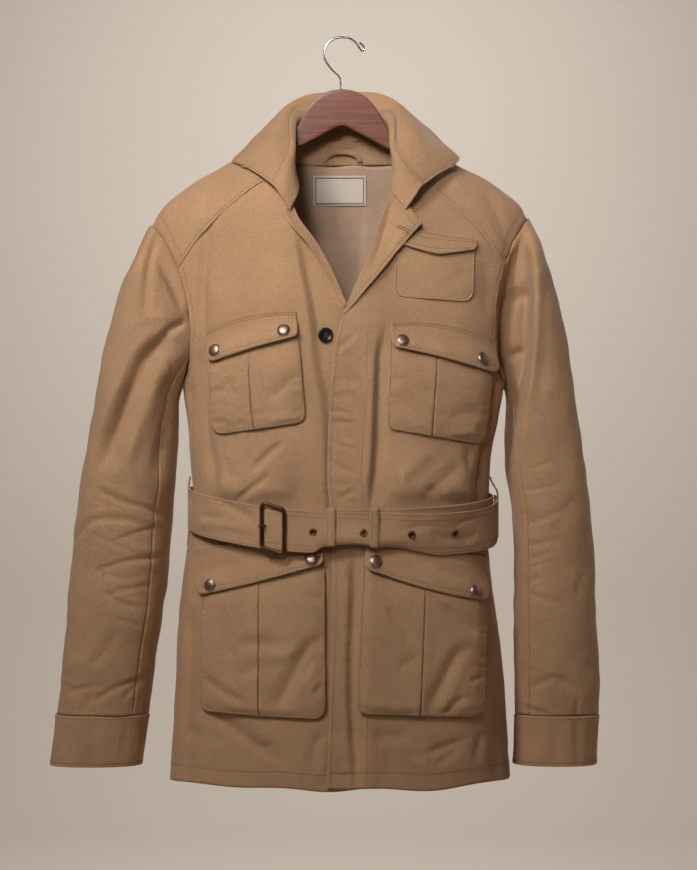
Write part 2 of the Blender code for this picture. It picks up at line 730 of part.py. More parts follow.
def yoke(mat):
    """One piece over both shoulders: its lower edge runs up the right front seam, round the neck and down
    the left front seam, and its upper edge is the back seam."""
    def front_part(side, share):
        x, z = front_seam(side, share)
        return Vector((x, across_of(x, z, "front")))

    lower = [front_part(RIGHT, s) for s in spread(1.0, 0.0, FRONT_COLUMNS)]
    lower += [neckline(RIGHT, s) for s in spread(0.0, 1.0, NECK_STEPS // 2)[1:]]
    lower += [neckline(LEFT, s) for s in spread(1.0, 0.0, NECK_STEPS // 2)[1:]]
    lower += [front_part(LEFT, s) for s in spread(0.0, 1.0, FRONT_COLUMNS)[1:]]
    last = len(lower) - 1

    def upper(s):
        x = blend(armhole_point(RIGHT, BACK_SEAM_ANGLE).x, armhole_point(LEFT, BACK_SEAM_ANGLE).x, s)
        return Vector((x, across_of(x, back_seam_level(x), "back")))

    def armhole(side):
        def edge(t):
            point = armhole_point(side, blend(FRONT_SEAM_ANGLE, BACK_SEAM_ANGLE, t))
            face = "front" if blend(FRONT_SEAM_ANGLE, BACK_SEAM_ANGLE, t) > 0 else "back"
            return Vector((point.x, across_of(point.x, point.z, face)))
        return edge

    rows = []
    for t in spread(0.0, 1.0, YOKE_STEPS):
        spots = [coons(lambda s: lower[round(s * last)], upper, armhole(RIGHT), armhole(LEFT), i / last, t)
                 for i in range(last + 1)]
        rows.append([shoulder_point(*spot) for spot in spots])
    for point in rows[-1]:
        point.z += SEAM_GAP
    return cloth("yoke", rows, Vector((0, 0, 1)), CLOTH_WALL, mat)


# Sleeves


def halfway(values):
    """The values with one more halfway between each two."""
    middles = [(a + b) / 2 for a, b in zip(values, values[1:])]
    return [value for pair in zip(values, middles) for value in pair] + [values[-1]]


def sleeve_point(ring, side, angle):
    """Point of a sleeve with the folds of its front."""
    point = ring_point(ring, side, angle)
    facing = max(0.0, math.sin(math.radians(angle)))
    point.y += fold_depth(SLEEVE_FOLDS[side], point.x, point.z) * facing
    return point


def sleeve_rows(side, angles):
    """Rows of points from the armhole down the sleeve."""
    first = []
    for angle in angles:
        seat = armhole_point(side, angle if angle <= 180 else angle - 360)
        below = ring_point(SLEEVE[side][1], side, angle)
        first.append(seat + (below - seat).normalized() * SLEEVE_GAP + Vector((side * SLEEVE_GAP, 0, 0)))
    rows = [halfway(first)]
    for ring in SLEEVE[side][1:]:
        rows.append([sleeve_point(ring, side, angle) for angle in halfway(angles)])
    return rows


def sleeve(side, mats):
    front_run = spread(FRONT_SEAM_ANGLE, 180.0, ARMHOLE_STEPS)
    back_run = spread(-180.0, BACK_SEAM_ANGLE, ARMHOLE_STEPS)
    yoke_run = spread(BACK_SEAM_ANGLE, FRONT_SEAM_ANGLE, YOKE_STEPS)
    top = [a for a in back_run if a >= BACK_SLEEVE_SEAM] + yoke_run[1:]
    top += [a for a in front_run[1:] if a <= FRONT_SLEEVE_SEAM]
    under = [a for a in front_run if a >= FRONT_SLEEVE_SEAM]
    under += [a + 360 for a in back_run[1:] if a <= BACK_SLEEVE_SEAM]
    under[0] += SLEEVE_SEAM_GAP
    under[-1] -= SLEEVE_SEAM_GAP
    name = "sleeve_" + SIDE_NAME[side]
    cloth(name + "_top", sleeve_rows(side, top), Vector((side, 0, 0)), CLOTH_WALL, mats["twill"])
    cloth(name + "_under", sleeve_rows(side, under), Vector((-side, 0, 0)), CLOTH_WALL, mats["twill"])


def cuff(side, mat):
    angles = spread(0.0, 360.0, CUFF_SIDES)[:-1]
    rows = [[ring_point(ring, side, angle) for angle in angles] for ring in CUFF[side]]
    middle = (CUFF_SIDES - 1) // 2
    centre = (rows[1][0] + rows[1][CUFF_SIDES // 2]) / 2
    cloth("cuff_" + SIDE_NAME[side], rows, rows[1][middle] - centre, FOLDED_WALL, mat, ring=True)


# Collar and lapels


def collar_point(side, along, station):
    """Point of the collar: along 0 at the back to 1 at the front end, station from neck to edge."""
    place = along * (len(COLLAR) - 1)
    rows = [(i, *row) for i, row in enumerate(COLLAR)]
    point = Vector()
    for axis in range(3):
        across = [(j, read_column(rows, place, j + 1, axis)) for j in range(5)]
        point[axis] = read_column(across, station, 1)
    if side == RIGHT:
        point.x -= COLLAR_DRAW_IN * along ** 3
        point.z -= COLLAR_SAG * 4 * along * (1 - along) * max(0.0, station - COLLAR_SEAM) / COLLAR_SEAM
    point.x *= side
    return point


def read_column(rows, key, column, axis=None):
    """As read_table, for rows whose columns are numbers or vectors."""
    Pair = namedtuple("Pair", "key value")
    pairs = [Pair(row[0], row[column] if axis is None else row[column][axis]) for row in rows]
    return read_table(pairs, key, "value")


def collar(mat):
    alongs = [(RIGHT, a) for a in spread(1.0, 0.0, COLLAR_STEPS)]
    alongs += [(LEFT, a) for a in spread(0.0, 1.0, COLLAR_STEPS)[1:]]
    stand, fall = [], []
    for side, along in alongs:
        past = max(0.0, (along - 1 + COLLAR_ROUND) / COLLAR_ROUND)
        reach = COLLAR_EDGE - COLLAR_ROUND_DEPTH * (1 - math.sqrt(1 - past * past))
        below, above = COLLAR_SEAM - COLLAR_SEAM_HALF, COLLAR_SEAM + COLLAR_SEAM_HALF
        stand.append([collar_point(side, along, s) for s in spread(0.0, below, STAND_CELLS)])
        fall.append([collar_point(side, along, s) for s in spread(above, reach, FALL_CELLS)])
    cloth("collar_stand", stand, Vector((0, 1, 0)), CLOTH_WALL, mat)
    cloth("collar_fall", fall, Vector((0, 0, 1)), CLOTH_WALL, mat)


def lapel(side, mat):
    rows = []
    for t in spread(0.0, 1.0, LAPEL_STEPS):
        roll_x, roll_z, edge_x, edge_z = (read_table(LAPELS[side], t, column)
                                          for column in ("roll_x", "roll_z", "edge_x", "edge_z"))
        row = []
        for s in spread(0.0, 1.0, LAPEL_CELLS):
            lift = blend(LAPEL_LIFT_ROLL, LAPEL_LIFT_EDGE, soft_step(s * t, 0.0, LAPEL_LIFT_RUN))
            row.append(on_front(side, blend(roll_x, edge_x, s), blend(roll_z, edge_z, s), lift))
        rows.append(row)
    cloth("lapel_" + SIDE_NAME[side], rows, Vector((0, -1, 0)), CLOTH_WALL, mat, inward=False)


# Pockets


def pocket(row, mat):
    """A patch with rounded lower corners, crowned so that its edges meet the front."""
    heights = [POCKET_CORNER * (1 - math.cos(math.radians(90 * i / CORNER_ROWS)))
               for i in range(CORNER_ROWS)]
    full = row.z0_top - row.z0_bottom
    heights += spread(POCKET_CORNER, full, POCKET_ROWS)
    grid = []
    for height in heights:
        t = height / full
        inset = 0.0
        if height < POCKET_CORNER:
            inset = POCKET_CORNER - math.sqrt(POCKET_CORNER ** 2 - (POCKET_CORNER - height) ** 2)
        x0 = blend(row.x0_bottom, row.x0_top, t) + inset
        x1 = blend(row.x1_bottom, row.x1_top, t) - inset
        line = []
        for s in spread(0.0, 1.0, POCKET_COLUMNS):
            x = blend(x0, x1, s)
            z = blend(blend(row.z0_bottom, row.z1_bottom, s), blend(row.z0_top, row.z1_top, s), t)
            inside = soft_step(min(x - x0, x1 - x, height), 0.0, POCKET_EDGE)
            inside *= blend(POCKET_TOP_SHARE, 1.0, soft_step(full - height, 0.0, POCKET_TOP_RUN))
            line.append(on_front(row.side, x, z, LAY_GAP + row.puff * inside))
        grid.append(line)
    cloth(row.name, grid, Vector((0, -1, 0)), CLOTH_WALL, mat, inward=False)


def flap_spot(row, s, t):
    """x, level and lift of a flap: s from its left to its right edge, t from its top to its bottom."""
    bow = 4 * s * (1 - s)
    x = blend(blend(row.x0_top, row.x1_top, s), blend(row.x0_bottom, row.x1_bottom, s), t)
    top = blend(row.z0_top, row.z1_top, s) + row.top_bow * bow
    bottom = blend(row.z0_bottom, row.z1_bottom, s) + row.bottom_bow * bow
    lift = row.lift + row.rise * soft_step(t, row.rise_from, FLAP_RISE_END)
    return x, blend(top, bottom, t), lift


def flap(row, mat):
    grid = [[on_front(row.side, *flap_spot(row, s, t)) for s in spread(0.0, 1.0, FLAP_COLUMNS)]
            for t in spread(0.0, 1.0, FLAP_ROWS)]
    cloth(row.name, grid, Vector((0, -1, 0)), FOLDED_WALL, mat, inward=False)


def snaps(mat):
    dome = [(SNAP_RADIUS * reach, SNAP_HEIGHT * rise) for reach, rise in SNAP_DOME]
    dome += [(SNAP_RADIUS, SNAP_RIM), (SNAP_RADIUS, 0.0), (0.0, 0.0)]
    mesh = turned_mesh("snap", dome)
    for snap in SNAPS:
        row = FLAPS[snap.flap]
        s = (snap.x - row.x0_bottom) / (row.x1_bottom - row.x0_bottom)
        top, bottom = flap_spot(row, s, 0.0)[1], flap_spot(row, s, 1.0)[1]
        t = (snap.z - top) / (bottom - top)
        seat, up, across = (on_front(row.side, *flap_spot(row, u, v))
                            for u, v in ((s, t), (s, t - SNAP_STEP), (s + SNAP_STEP, t)))
        out = (across - seat).cross(up - seat).normalized()
        turned(snap.name, mesh, SNAP_SIDES, seat + out * (FOLDED_WALL + snap.lift), out, mat)


def button(mat):
    disc = [(BUTTON_RADIUS * reach, BUTTON_HEIGHT * rise) for reach, rise in BUTTON_SECTION]
    out = way_out(lambda side, x, z: front_point(side, x, z).y, RIGHT, BUTTON_X, BUTTON_Z)
    seat = front_point(RIGHT, BUTTON_X, BUTTON_Z) + out * BUTTON_LIFT
    turned("front_button", turned_mesh("button", disc), BUTTON_SIDES, seat, out, mat)


# Belt


def belt_spot(turn):
    """Middle of the belt at an angle round the waist, with the way out."""
    z = read_table(BELT, turn, "level")
    lift = read_table(BELT, turn, "lift")
    wrapped = (turn + 90) % 360 - 90
    front = wrapped <= 90
    x = x_at_turn(wrapped if front else 180 - wrapped, z)

    def surface(angle):
        angle = (angle + 90) % 360 - 90
        if angle <= 90:
            px = x_at_turn(angle, z)
            return Vector((px, front_y(LEFT, px, z), z))
        px = x_at_turn(180 - angle, z)
        return Vector((px, depth("back", px, z), z))

    seat = surface(wrapped)
    tangent = surface(wrapped + BELT_AHEAD) - surface(wrapped - BELT_AHEAD)
    out = Vector((tangent.y, -tangent.x, 0)).normalized()
    return seat + out * lift, out


def belt(mat):
    rows = []
    for turn in spread(BELT[0].turn, BELT[-1].turn, BELT_STEPS):
        middle, out = belt_spot(turn)
        half = Vector((0, 0, BELT_WIDTH / 2))
        rows.append([middle - half, middle, middle + half])
    outside = belt_spot((BELT[0].turn + BELT[-1].turn) / 2)[1]
    cloth("belt", rows, outside, FOLDED_WALL, mat, inward=False)


def tail_turn(x):
    """Angle of the belt's outer layer where it passes x at the front."""
    return 360 + turn_of(x, BELT_LEVEL)


def on_belt(x, rise):
    middle, out = belt_spot(tail_turn(x))
    return middle + out * (FOLDED_WALL + rise), out


def buckle(mat):
    """A slanted frame of round wire on the belt, and the prong's tip resting on its outer bar."""
    corners = ((BUCKLE_X0, BUCKLE_Z0), (BUCKLE_X1, BUCKLE_Z0 + BUCKLE_SLANT),
               (BUCKLE_X1, BUCKLE_Z1 + BUCKLE_SLANT), (BUCKLE_X0, BUCKLE_Z1))
    signs = ((1, -1), (-1, -1), (-1, 1), (1, 1))
    rise = BUCKLE_WIRE + BUCKLE_REST
    points = []
    for index, ((x, z), (way_x, way_z)) in enumerate(zip(corners, signs)):
        for angle in spread(180 - 90 * index, 90 - 90 * index, BUCKLE_CORNER_STEPS):
            px = x + BUCKLE_CORNER * (way_x + math.cos(math.radians(angle)))
            pz = z + BUCKLE_CORNER * (way_z + math.sin(math.radians(angle)))
            seat = on_belt(px, rise)[0]
            points.append(Vector((px, seat.y, pz)))
    wire("buckle_frame", points, BUCKLE_WIRE, mat, closed=True)
    level = (BUCKLE_Z0 + BUCKLE_Z1) / 2
    over = 2 * BUCKLE_WIRE + PRONG_WIRE + PRONG_OVER
    reach = ((PRONG_INSIDE, PRONG_WIRE + BUCKLE_REST), (PRONG_BEND, PRONG_WIRE + PRONG_BEND_RISE),
             (PRONG_BAR, over), (PRONG_PAST, over))
    tip = [Vector((BUCKLE_X0 + x, on_belt(BUCKLE_X0 + x, rise)[0].y, level)) for x, rise in reach]
    wire("buckle_prong", tip, PRONG_WIRE, mat, sides=1)


def eyelets(mat):
    for number, x in enumerate(EYELET_XS, 1):
        seat, out = on_belt(x, EYELET_WIRE + EYELET_REST)
        up = Vector((0, 0, EYELET_RADIUS))
        sideways = up.cross(out)
        points = []
        for angle in spread(0.0, 2 * math.pi, EYELET_SIDES)[:-1]:
            points.append(seat + sideways * math.cos(angle) + up * math.sin(angle))
        wire(f"eyelet_{number}", points, EYELET_WIRE, mat, closed=True, sides=1)


def keepers(mat):
    """Narrow cloth rings round both layers of the belt."""
    for number, x in enumerate(KEEPER_XS, 1):
        inner = belt_spot(turn_of(x, BELT_LEVEL))[0]
        outer, out = on_belt(x, 0.0)
        top = max(inner.z, outer.z) + BELT_WIDTH / 2 + KEEPER_GAP
        bottom = min(inner.z, outer.z) - BELT_WIDTH / 2 - KEEPER_GAP
        near, far = outer.y - KEEPER_ROOM, inner.y + KEEPER_ROOM
        loop = ((near, bottom), (near, (top + bottom) / 2), (near, top), (far, top),
                (far, (top + bottom) / 2), (far, bottom))
        turn = Vector((0, 0, 1)).cross(out)
        rows = []
        for shift in (-KEEPER_WIDTH / 2, KEEPER_WIDTH / 2):
            rows.append([Vector((x, y, z)) + turn * shift for y, z in loop])
        upward = Vector((0, 0, 1))
        cloth(f"belt_keeper_{number}", rows, upward, KEEPER_WALL, mat, inward=False, ring=True)


def side_loop(side, mat):
    """A strap on the side seam that the belt passes under."""
    turn = 90.0 if side == LEFT else 270.0
    outer = abs((belt_spot(450.0) if side == LEFT else belt_spot(turn))[0].x) + FOLDED_WALL
    level = belt_spot(turn)[0].z
    rows = []
    for z in spread(LOOP_BOTTOM, LOOP_TOP, LOOP_STEPS):
        seat = half_width(side, z) + LAY_GAP
        over = soft_step(BELT_WIDTH / 2 + LOOP_BRIDGE - abs(z - level), 0.0, LOOP_RUN)
        x = blend(seat, outer + LOOP_ROOM, over)
        rows.append([Vector((side * x, y, z)) for y in (-LOOP_WIDTH / 2, LOOP_WIDTH / 2)])
    cloth("belt_loop_" + SIDE_NAME[side], rows, Vector((side, 0, 0)), CLOTH_WALL, mat, inward=False)


# Inside of the neck


def inside_back(x, z, set_in):
    return Vector((x, back_y(x, z) - CLOTH_WALL - set_in, z))


def neck_lining(mats):
    rows = []
    for t in spread(0.0, 1.0, LINING_ROWS):
        row = []
        for s in spread(-1.0, 1.0, LINING_COLUMNS):
            x = s * blend(LINING_HALF_BOTTOM, LINING_HALF_TOP, t)
            top = min(LINING_TOP, ridge(x) - LINING_BELOW_RIDGE)
            row.append(inside_back(x, blend(LINING_BOTTOM, top, t), LINING_SET_IN))
        rows.append(row)
    cloth("back_lining", rows, Vector((0, 1, 0)), LINING_WALL, mats["lining"])
    rows = []
    for t in spread(0.0, 1.0, FACING_ROWS):
        row = []
        for s in spread(-1.0, 1.0, LINING_COLUMNS):
            x = s * FACING_REACH
            top = FACING_TOP + FACING_RISE * s * s
            row.append(inside_back(x, blend(LINING_TOP + SEAM_GAP, top, t), FACING_SET_IN))
        rows.append(row)
    cloth("neck_facing", rows, Vector((0, 1, 0)), LINING_WALL, mats["twill"])
    rows = []
    for z in spread(LABEL_BOTTOM, LABEL_TOP, LABEL_ROWS):
        rows.append([inside_back(x, z, LINING_SET_IN + LINING_WALL + LABEL_GAP)
                     for x in spread(LABEL_X0, LABEL_X1, LABEL_COLUMNS)])
    cloth("neck_label", rows, Vector((0, 1, 0)), LINING_WALL, mats["label"])


def hang_loop(mat):
    """A narrow cloth loop sewn to the neck facing, standing a little off it."""
    rows = []
    for angle in spread(0.0, math.pi, HANG_LOOP_STEPS):
        out_x, out_z = -math.cos(angle), math.sin(angle)
        x, z = HANG_LOOP_REACH * out_x, blend(HANG_LOOP_BOTTOM, HANG_LOOP_TOP, out_z)
        stand_off = FACING_SET_IN + LINING_WALL + HANG_LOOP_GAP + HANG_LOOP_LEAN * out_z
        rows.append([inside_back(x - out_x * width, z - out_z * width, stand_off)
                     for width in (0.0, HANG_LOOP_WIDTH)])
    cloth("hang_loop", rows, Vector((0, 1, 0)), LINING_WALL, mat)


# Hanger


def hanger(mats):
    upper = [(row.reach, row.level) for row in HANGER_CROWN]
    upper += [(x, ridge(x) - CLOTH_WALL - HANGER_CLEAR)
              for x in spread(HANGER_SEAT, HANGER_END, HANGER_STEPS)]
    end = (HANGER_END + HANGER_END_NOSE, upper[-1][1] - HANGER_END_DROP)
    lower = [(row.reach, row.level) for row in HANGER_LOWER]
    half = upper + [end] + lower[::-1]
    outline = half + [(-x, z) for x, z in half[-2:0:-1]]
    points = [Vector((x, -HANGER_HALF_THICK, z)) * MM for x, z in outline]
    mesh = bpy.data.meshes.new("hanger_body")
    mesh.from_pydata(points, [], [range(len(points))])
    body = add_object("hanger_body", mesh, mats["cherry"])
    thicken = body.modifiers.new("wood", "SOLIDIFY")
    thicken.thickness = 2 * HANGER_HALF_THICK * MM
    thicken.offset = 1.0
    edges = body.modifiers.new("rounded", "BEVEL")
    edges.width = HANGER_ROUND * MM
    edges.segments = HANGER_ROUND_STEPS
    edges.limit_method = "ANGLE"
    edges.angle_limit = math.radians(HANGER_ROUND_ANGLE)
    points = [Vector((row.x, 0, row.z)) for row in HOOK]
    wire("hanger_hook", points, HOOK_WIRE, mats["chrome"])


def build():
    for old in list(bpy.data.objects):
        bpy.data.objects.remove(old)
    mats = {
        "twill": material("tan_cotton_twill", (0.37, 0.235, 0.135), 0.9),
        "lining": material("beige_cotton_lining", (0.42, 0.30, 0.20), 0.85),
        "label": material("off_white_label", (0.68, 0.60, 0.50), 0.85),
        "snap": material("antique_copper_nickel", (0.36, 0.24, 0.19), 0.35, 1.0),
        "button": material("black_button", (0.012, 0.011, 0.011), 0.35),
        "buckle": material("dark_bronze", (0.05, 0.026, 0.016), 0.4, 0.6),
        "eyelet": material("antique_brass", (0.20, 0.13, 0.08), 0.4, 1.0),
        "cherry": material("varnished_cherry", (0.16, 0.045, 0.022), 0.35),
        "chrome": material("chromed_wire", (0.75, 0.75, 0.75), 0.15, 1.0),
    }
    twill = mats["twill"]
    hanger(mats)
    back_panel(twill)
    yoke(twill)
    for side in (RIGHT, LEFT):
        front_panel(side, twill)
        lapel(side, twill)
        sleeve(side, mats)
        cuff(side, twill)
        side_loop(side, twill)
    collar(twill)
    for row in POCKETS:
        pocket(row, twill)
    for row in FLAPS:
        flap(row, twill)
    snaps(mats["snap"])
    button(mats["button"])
    belt(twill)
    buckle(mats["buckle"])
    eyelets(mats["eyelet"])
    keepers(twill)
    neck_lining(mats)
    hang_loop(twill)


build()
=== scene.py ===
"""Tan cotton jungle jacket on a wooden hanger, dressed over its CAD frame.

Lengths are in millimetres until points go into a mesh. The wearer's right is -X and the front is -Y.
"""
import math

import bmesh
import bpy
import numpy as np
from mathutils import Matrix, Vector


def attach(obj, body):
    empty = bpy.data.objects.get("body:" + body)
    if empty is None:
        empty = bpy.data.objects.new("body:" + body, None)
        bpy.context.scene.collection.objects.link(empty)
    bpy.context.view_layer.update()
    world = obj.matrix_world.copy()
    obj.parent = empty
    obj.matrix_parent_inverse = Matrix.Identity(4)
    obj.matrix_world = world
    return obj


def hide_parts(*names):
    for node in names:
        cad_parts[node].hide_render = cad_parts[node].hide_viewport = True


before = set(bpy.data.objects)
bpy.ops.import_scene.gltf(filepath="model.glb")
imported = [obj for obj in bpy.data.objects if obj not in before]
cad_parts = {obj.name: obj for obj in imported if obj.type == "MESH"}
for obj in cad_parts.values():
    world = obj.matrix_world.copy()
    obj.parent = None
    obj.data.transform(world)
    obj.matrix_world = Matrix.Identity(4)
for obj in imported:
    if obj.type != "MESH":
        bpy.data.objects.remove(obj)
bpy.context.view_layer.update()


# Studio: a sweep of pale paper well below and behind the jacket, with lights of its own. One soft key light
# stands high on the left in front, with weak lights on the collar, from behind and from the right; the
# camera is level with the middle of the jacket.


def paint(code):
    """Linear colour of an sRGB hex code."""
    parts = [int(code[i:i + 2], 16) / 255 for i in (1, 3, 5)]
    return (*[p / 12.92 if p <= 0.04045 else ((p + 0.055) / 1.055) ** 2.4 for p in parts], 1.0)


def add_node(tree, kind, inputs=None, **settings):
    """A shader node with its settings and the values or links of its inputs."""
    new = tree.nodes.new(kind)
    for name, value in settings.items():
        setattr(new, name, value)
    for socket, value in (inputs or {}).items():
        if isinstance(value, bpy.types.NodeSocket):
            tree.links.new(value, new.inputs[socket])
        else:
            new.inputs[socket].default_value = value
    return new


def new_material(name, **sockets):
    """A material with values set on its surface shader."""
    mat = bpy.data.materials.new(name)
    mat.use_nodes = True
    shader = mat.node_tree.nodes["Principled BSDF"]
    for socket, value in sockets.items():
        shader.inputs[socket.replace("_", " ")].default_value = value
    return mat, mat.node_tree, shader


def add_object(name, data, mat):
    data.materials.append(mat)
    thing = bpy.data.objects.new(name, data)
    bpy.context.collection.objects.link(thing)
    return thing


FLOOR_Z, SWEEP_Y, SWEEP_ROUND = -2.6, 11.0, 1.2
SWEEP_HALF, SWEEP_FRONT, SWEEP_TOP = 14.0, -14.0, 7.0
# Matte paper: a pale warm grey with a very faint fibre cloud.
paper, tree, shader = new_material("pale_background_paper_matte", Roughness=0.95)
fibres = add_node(tree, "ShaderNodeTexNoise", {"Scale": 3.0, "Detail": 3.0})
tone = add_node(tree, "ShaderNodeMix", {"Factor": fibres.outputs["Fac"], "A": paint("#d6d0c8"),
                                       "B": paint("#dfdad3")}, data_type="RGBA")
tree.links.new(tone.outputs["Result"], shader.inputs["Base Color"])
profile = [(SWEEP_FRONT, FLOOR_Z)]
profile += [(SWEEP_Y - SWEEP_ROUND * (1 - math.sin(a)), FLOOR_Z + SWEEP_ROUND * (1 - math.cos(a)))
            for a in np.linspace(0.0, math.pi / 2, 16)]
profile += [(SWEEP_Y, SWEEP_TOP)]
mesh = bpy.data.meshes.new("paper_sweep")
mesh.from_pydata([(x, y, z) for y, z in profile for x in (-SWEEP_HALF, SWEEP_HALF)], [],
                 [(2 * i, 2 * i + 1, 2 * i + 3, 2 * i + 2) for i in range(len(profile) - 1)])
mesh.shade_smooth()
add_object("paper_sweep", mesh, paper)

world = bpy.data.worlds.new("studio")
bpy.context.scene.world = world
world.use_nodes = True
sky = world.node_tree.nodes["Background"]
sky.inputs["Color"].default_value = paint("#ffe2cb")
sky.inputs["Strength"].default_value = 0.06
# name, place, aim, size in metres, spread in degrees, power in watts, colour
for name, place, aim, size, spread, power, colour in (
    ("key", (-1.0, -1.5, 1.0), (0.0, 0.0, -0.4), 0.5, 180.0, 30.0, "#fffaf5"),
    ("collar_light", (-0.5, -2.4, 0.7), (0.0, 0.0, -0.15), 0.6, 30.0, 1.1, "#fffdfb"),
    ("back_fill", (0.8, 2.4, 0.9), (0.0, 0.0, -0.45), 1.6, 180.0, 26.0, "#fff6ee"),
    ("side_fill", (2.4, 0.7, 0.5), (0.0, 0.0, -0.45), 1.4, 180.0, 12.0, "#fff6ee"),
    ("floor_light", (0.0, 0.0, -1.3), (0.0, 0.001, -2.6), 5.0, 180.0, 22.0, "#fff8ef"),
    ("paper_glow", (0.0, 7.0, 1.8), (0.0, 11.0, -0.8), 3.0, 180.0, 170.0, "#fff8ef"),
):
    lamp = bpy.data.lights.new(name, "AREA")
    lamp.size, lamp.energy, lamp.color = size, power, paint(colour)[:3]
    lamp.spread = math.radians(spread)
    thing = bpy.data.objects.new(name, lamp)
    thing.location = place
    thing.rotation_euler = (Vector(aim) - Vector(place)).to_track_quat("-Z", "Y").to_euler()
    bpy.context.collection.objects.link(thing)

camera = bpy.data.cameras.new("camera")
camera.sensor_fit, camera.sensor_height, camera.lens = "VERTICAL", 36.0, 100.67
thing = bpy.data.objects.new("camera", camera)
thing.location = (0.008, -3.0, -0.489)
thing.rotation_euler = (math.pi / 2, 0.0, 0.0)
bpy.context.collection.objects.link(thing)
bpy.context.scene.camera = thing
bpy.context.scene.view_settings.view_transform = "Standard"


# Hanger: a wishbone of stained cherry, sawn from board and shaped with rounded edges, under a thin
# varnish; a bent chromed wire hook is screwed into its top.


def hermite(keys, values, at):
    """Values at a key on a smooth curve through rows; rows may hold one point for each key asked."""
    keys, values = np.asarray(keys, float), np.asarray(values, float)
    at = np.clip(at, keys[0], keys[-1])
    count = len(keys)
    i = np.clip(np.searchsorted(keys, at, "right") - 1, 0, count - 2)
    low, high = np.maximum(np.arange(count) - 1, 0), np.minimum(np.arange(count) + 1, count - 1)
    run = (keys[high] - keys[low]).reshape(-1, *[1] * (values.ndim - 1))
    slopes = (values[high] - values[low]) / run
    step = keys[i + 1] - keys[i]
    t = (at - keys[i]) / step
    if values.ndim == 1:
        a, b, m, n = values[i], values[i + 1], slopes[i], slopes[i + 1]
    else:
        place = np.arange(at.size)
        a, b, m, n = values[i, place], values[i + 1, place], slopes[i, place], slopes[i + 1, place]
        t, step = t[:, None], step[:, None]
    return (a * (1 + 2 * t) * (1 - t) ** 2 + m * step * t * (1 - t) ** 2
            + b * t * t * (3 - 2 * t) + n * step * t * t * (t - 1))


def read_table(rows, key, column=1):
    return hermite([row[0] for row in rows], [row[column] for row in rows], key)


def blend(a, b, share):
    return a + (b - a) * share


# Height of the shoulder ridge by distance from the middle
RIDGE = ((0, -80), (40, -95), (62, -113), (100, -132), (145, -158), (174, -173),
         (198, -189), (218, -205), (231, -222), (237, -231), (260, -275))


def ridge(x):
    return read_table(RIDGE, np.abs(x))


MM = 0.001
AHEAD, BEHIND, UP = (0, -1, 0), (0, 1, 0), (0, 0, 1)


def grid_mesh(name, points, outside, ring=False):
    """A mesh on a grid of points, with its flat lengths as a UV map and its distance from the edge."""
    rows, count = points.shape[:2]
    closed = np.concatenate([points, points[:, :1]], 1) if ring else points
    step_u = np.linalg.norm(np.diff(closed, axis=1), axis=2)
    step_v = np.linalg.norm(np.diff(points, axis=0), axis=2)
    u = np.concatenate([np.zeros((rows, 1)), np.cumsum(step_u, 1)], 1)
    v = np.concatenate([np.zeros((1, count)), np.cumsum(step_v, 0)], 0)
    from_edge = np.minimum(v, v[-1:] - v)
    if not ring:
        from_edge = np.minimum(from_edge, np.minimum(u, u[:, -1:] - u))
    index = np.arange(rows * count).reshape(rows, count)
    after = np.roll(index, -1, 1)
    width = count if ring else count - 1
    faces = np.stack([index[:-1, :width], after[:-1, :width], after[1:, :width], index[1:, :width]], -1)
    flat_u = np.stack([u[:-1, :width], u[:-1, 1:width + 1], u[1:, 1:width + 1], u[1:, :width]], -1)
    v_next = np.roll(v, -1, 1)
    flat_v = np.stack([v[:-1, :width], v_next[:-1, :width], v_next[1:, :width], v[1:, :width]], -1)
    middle = (rows // 2 - (rows > 2), count // 2 - 1)
    corner = points[middle]
    normal = np.cross(points[middle[0], middle[1] + 1] - corner, points[middle[0] + 1, middle[1]] - corner)
    faces, flat_u, flat_v = (a.reshape(-1, 4) for a in (faces, flat_u, flat_v))
    if np.dot(normal, outside) < 0:
        faces, flat_u, flat_v = faces[:, ::-1], flat_u[:, ::-1], flat_v[:, ::-1]
    mesh = bpy.data.meshes.new(name)
    mesh.from_pydata((points.reshape(-1, 3) * MM).tolist(), [], faces.tolist())
    mesh.shade_smooth()
    layer = mesh.uv_layers.new(name="weave")
    layer.data.foreach_set("uv", (np.stack([flat_u, flat_v], -1) * MM).astype(np.float32).ravel())
    edge = mesh.attributes.new("edge", "FLOAT", "POINT")
    edge.data.foreach_set("value", (from_edge * MM).astype(np.float32).ravel())
    return mesh


def dress(piece, node):
    """Fix a finished piece to the body in the place of its node."""
    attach(piece, "root")
    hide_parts(node)


HANGER_THICK, HANGER_ROUND = 12.0, 4.2
HANGER_UPPER = ((0, -63), (15, -65.5), (30, -73.5), (44, -90), (54, -109), (62, -122), (84, -130.5))
HANGER_LOWER = ((0, -107.5), (8, -110.5), (60, -138), (105, -162), (150, -187), (190, -212), (199, -204))
HANGER_SEAT, HANGER_CLEAR = 84.0, 5.2
across = np.concatenate([np.linspace(-199, -40, 54), np.linspace(-38, 38, 46), np.linspace(40, 199, 54)])
upper = np.where(np.abs(across) < HANGER_SEAT, read_table(HANGER_UPPER, np.abs(across)),
                 ridge(across) - HANGER_CLEAR)
lower = np.minimum(read_table(HANGER_LOWER, np.abs(across)), upper - 7.0)
shares = np.linspace(0.0, 1.0, 9)[:, None]
points = np.stack([np.broadcast_to(across, (9, across.size)),
                   np.full((9, across.size), -HANGER_THICK / 2), blend(lower, upper, shares)], -1)
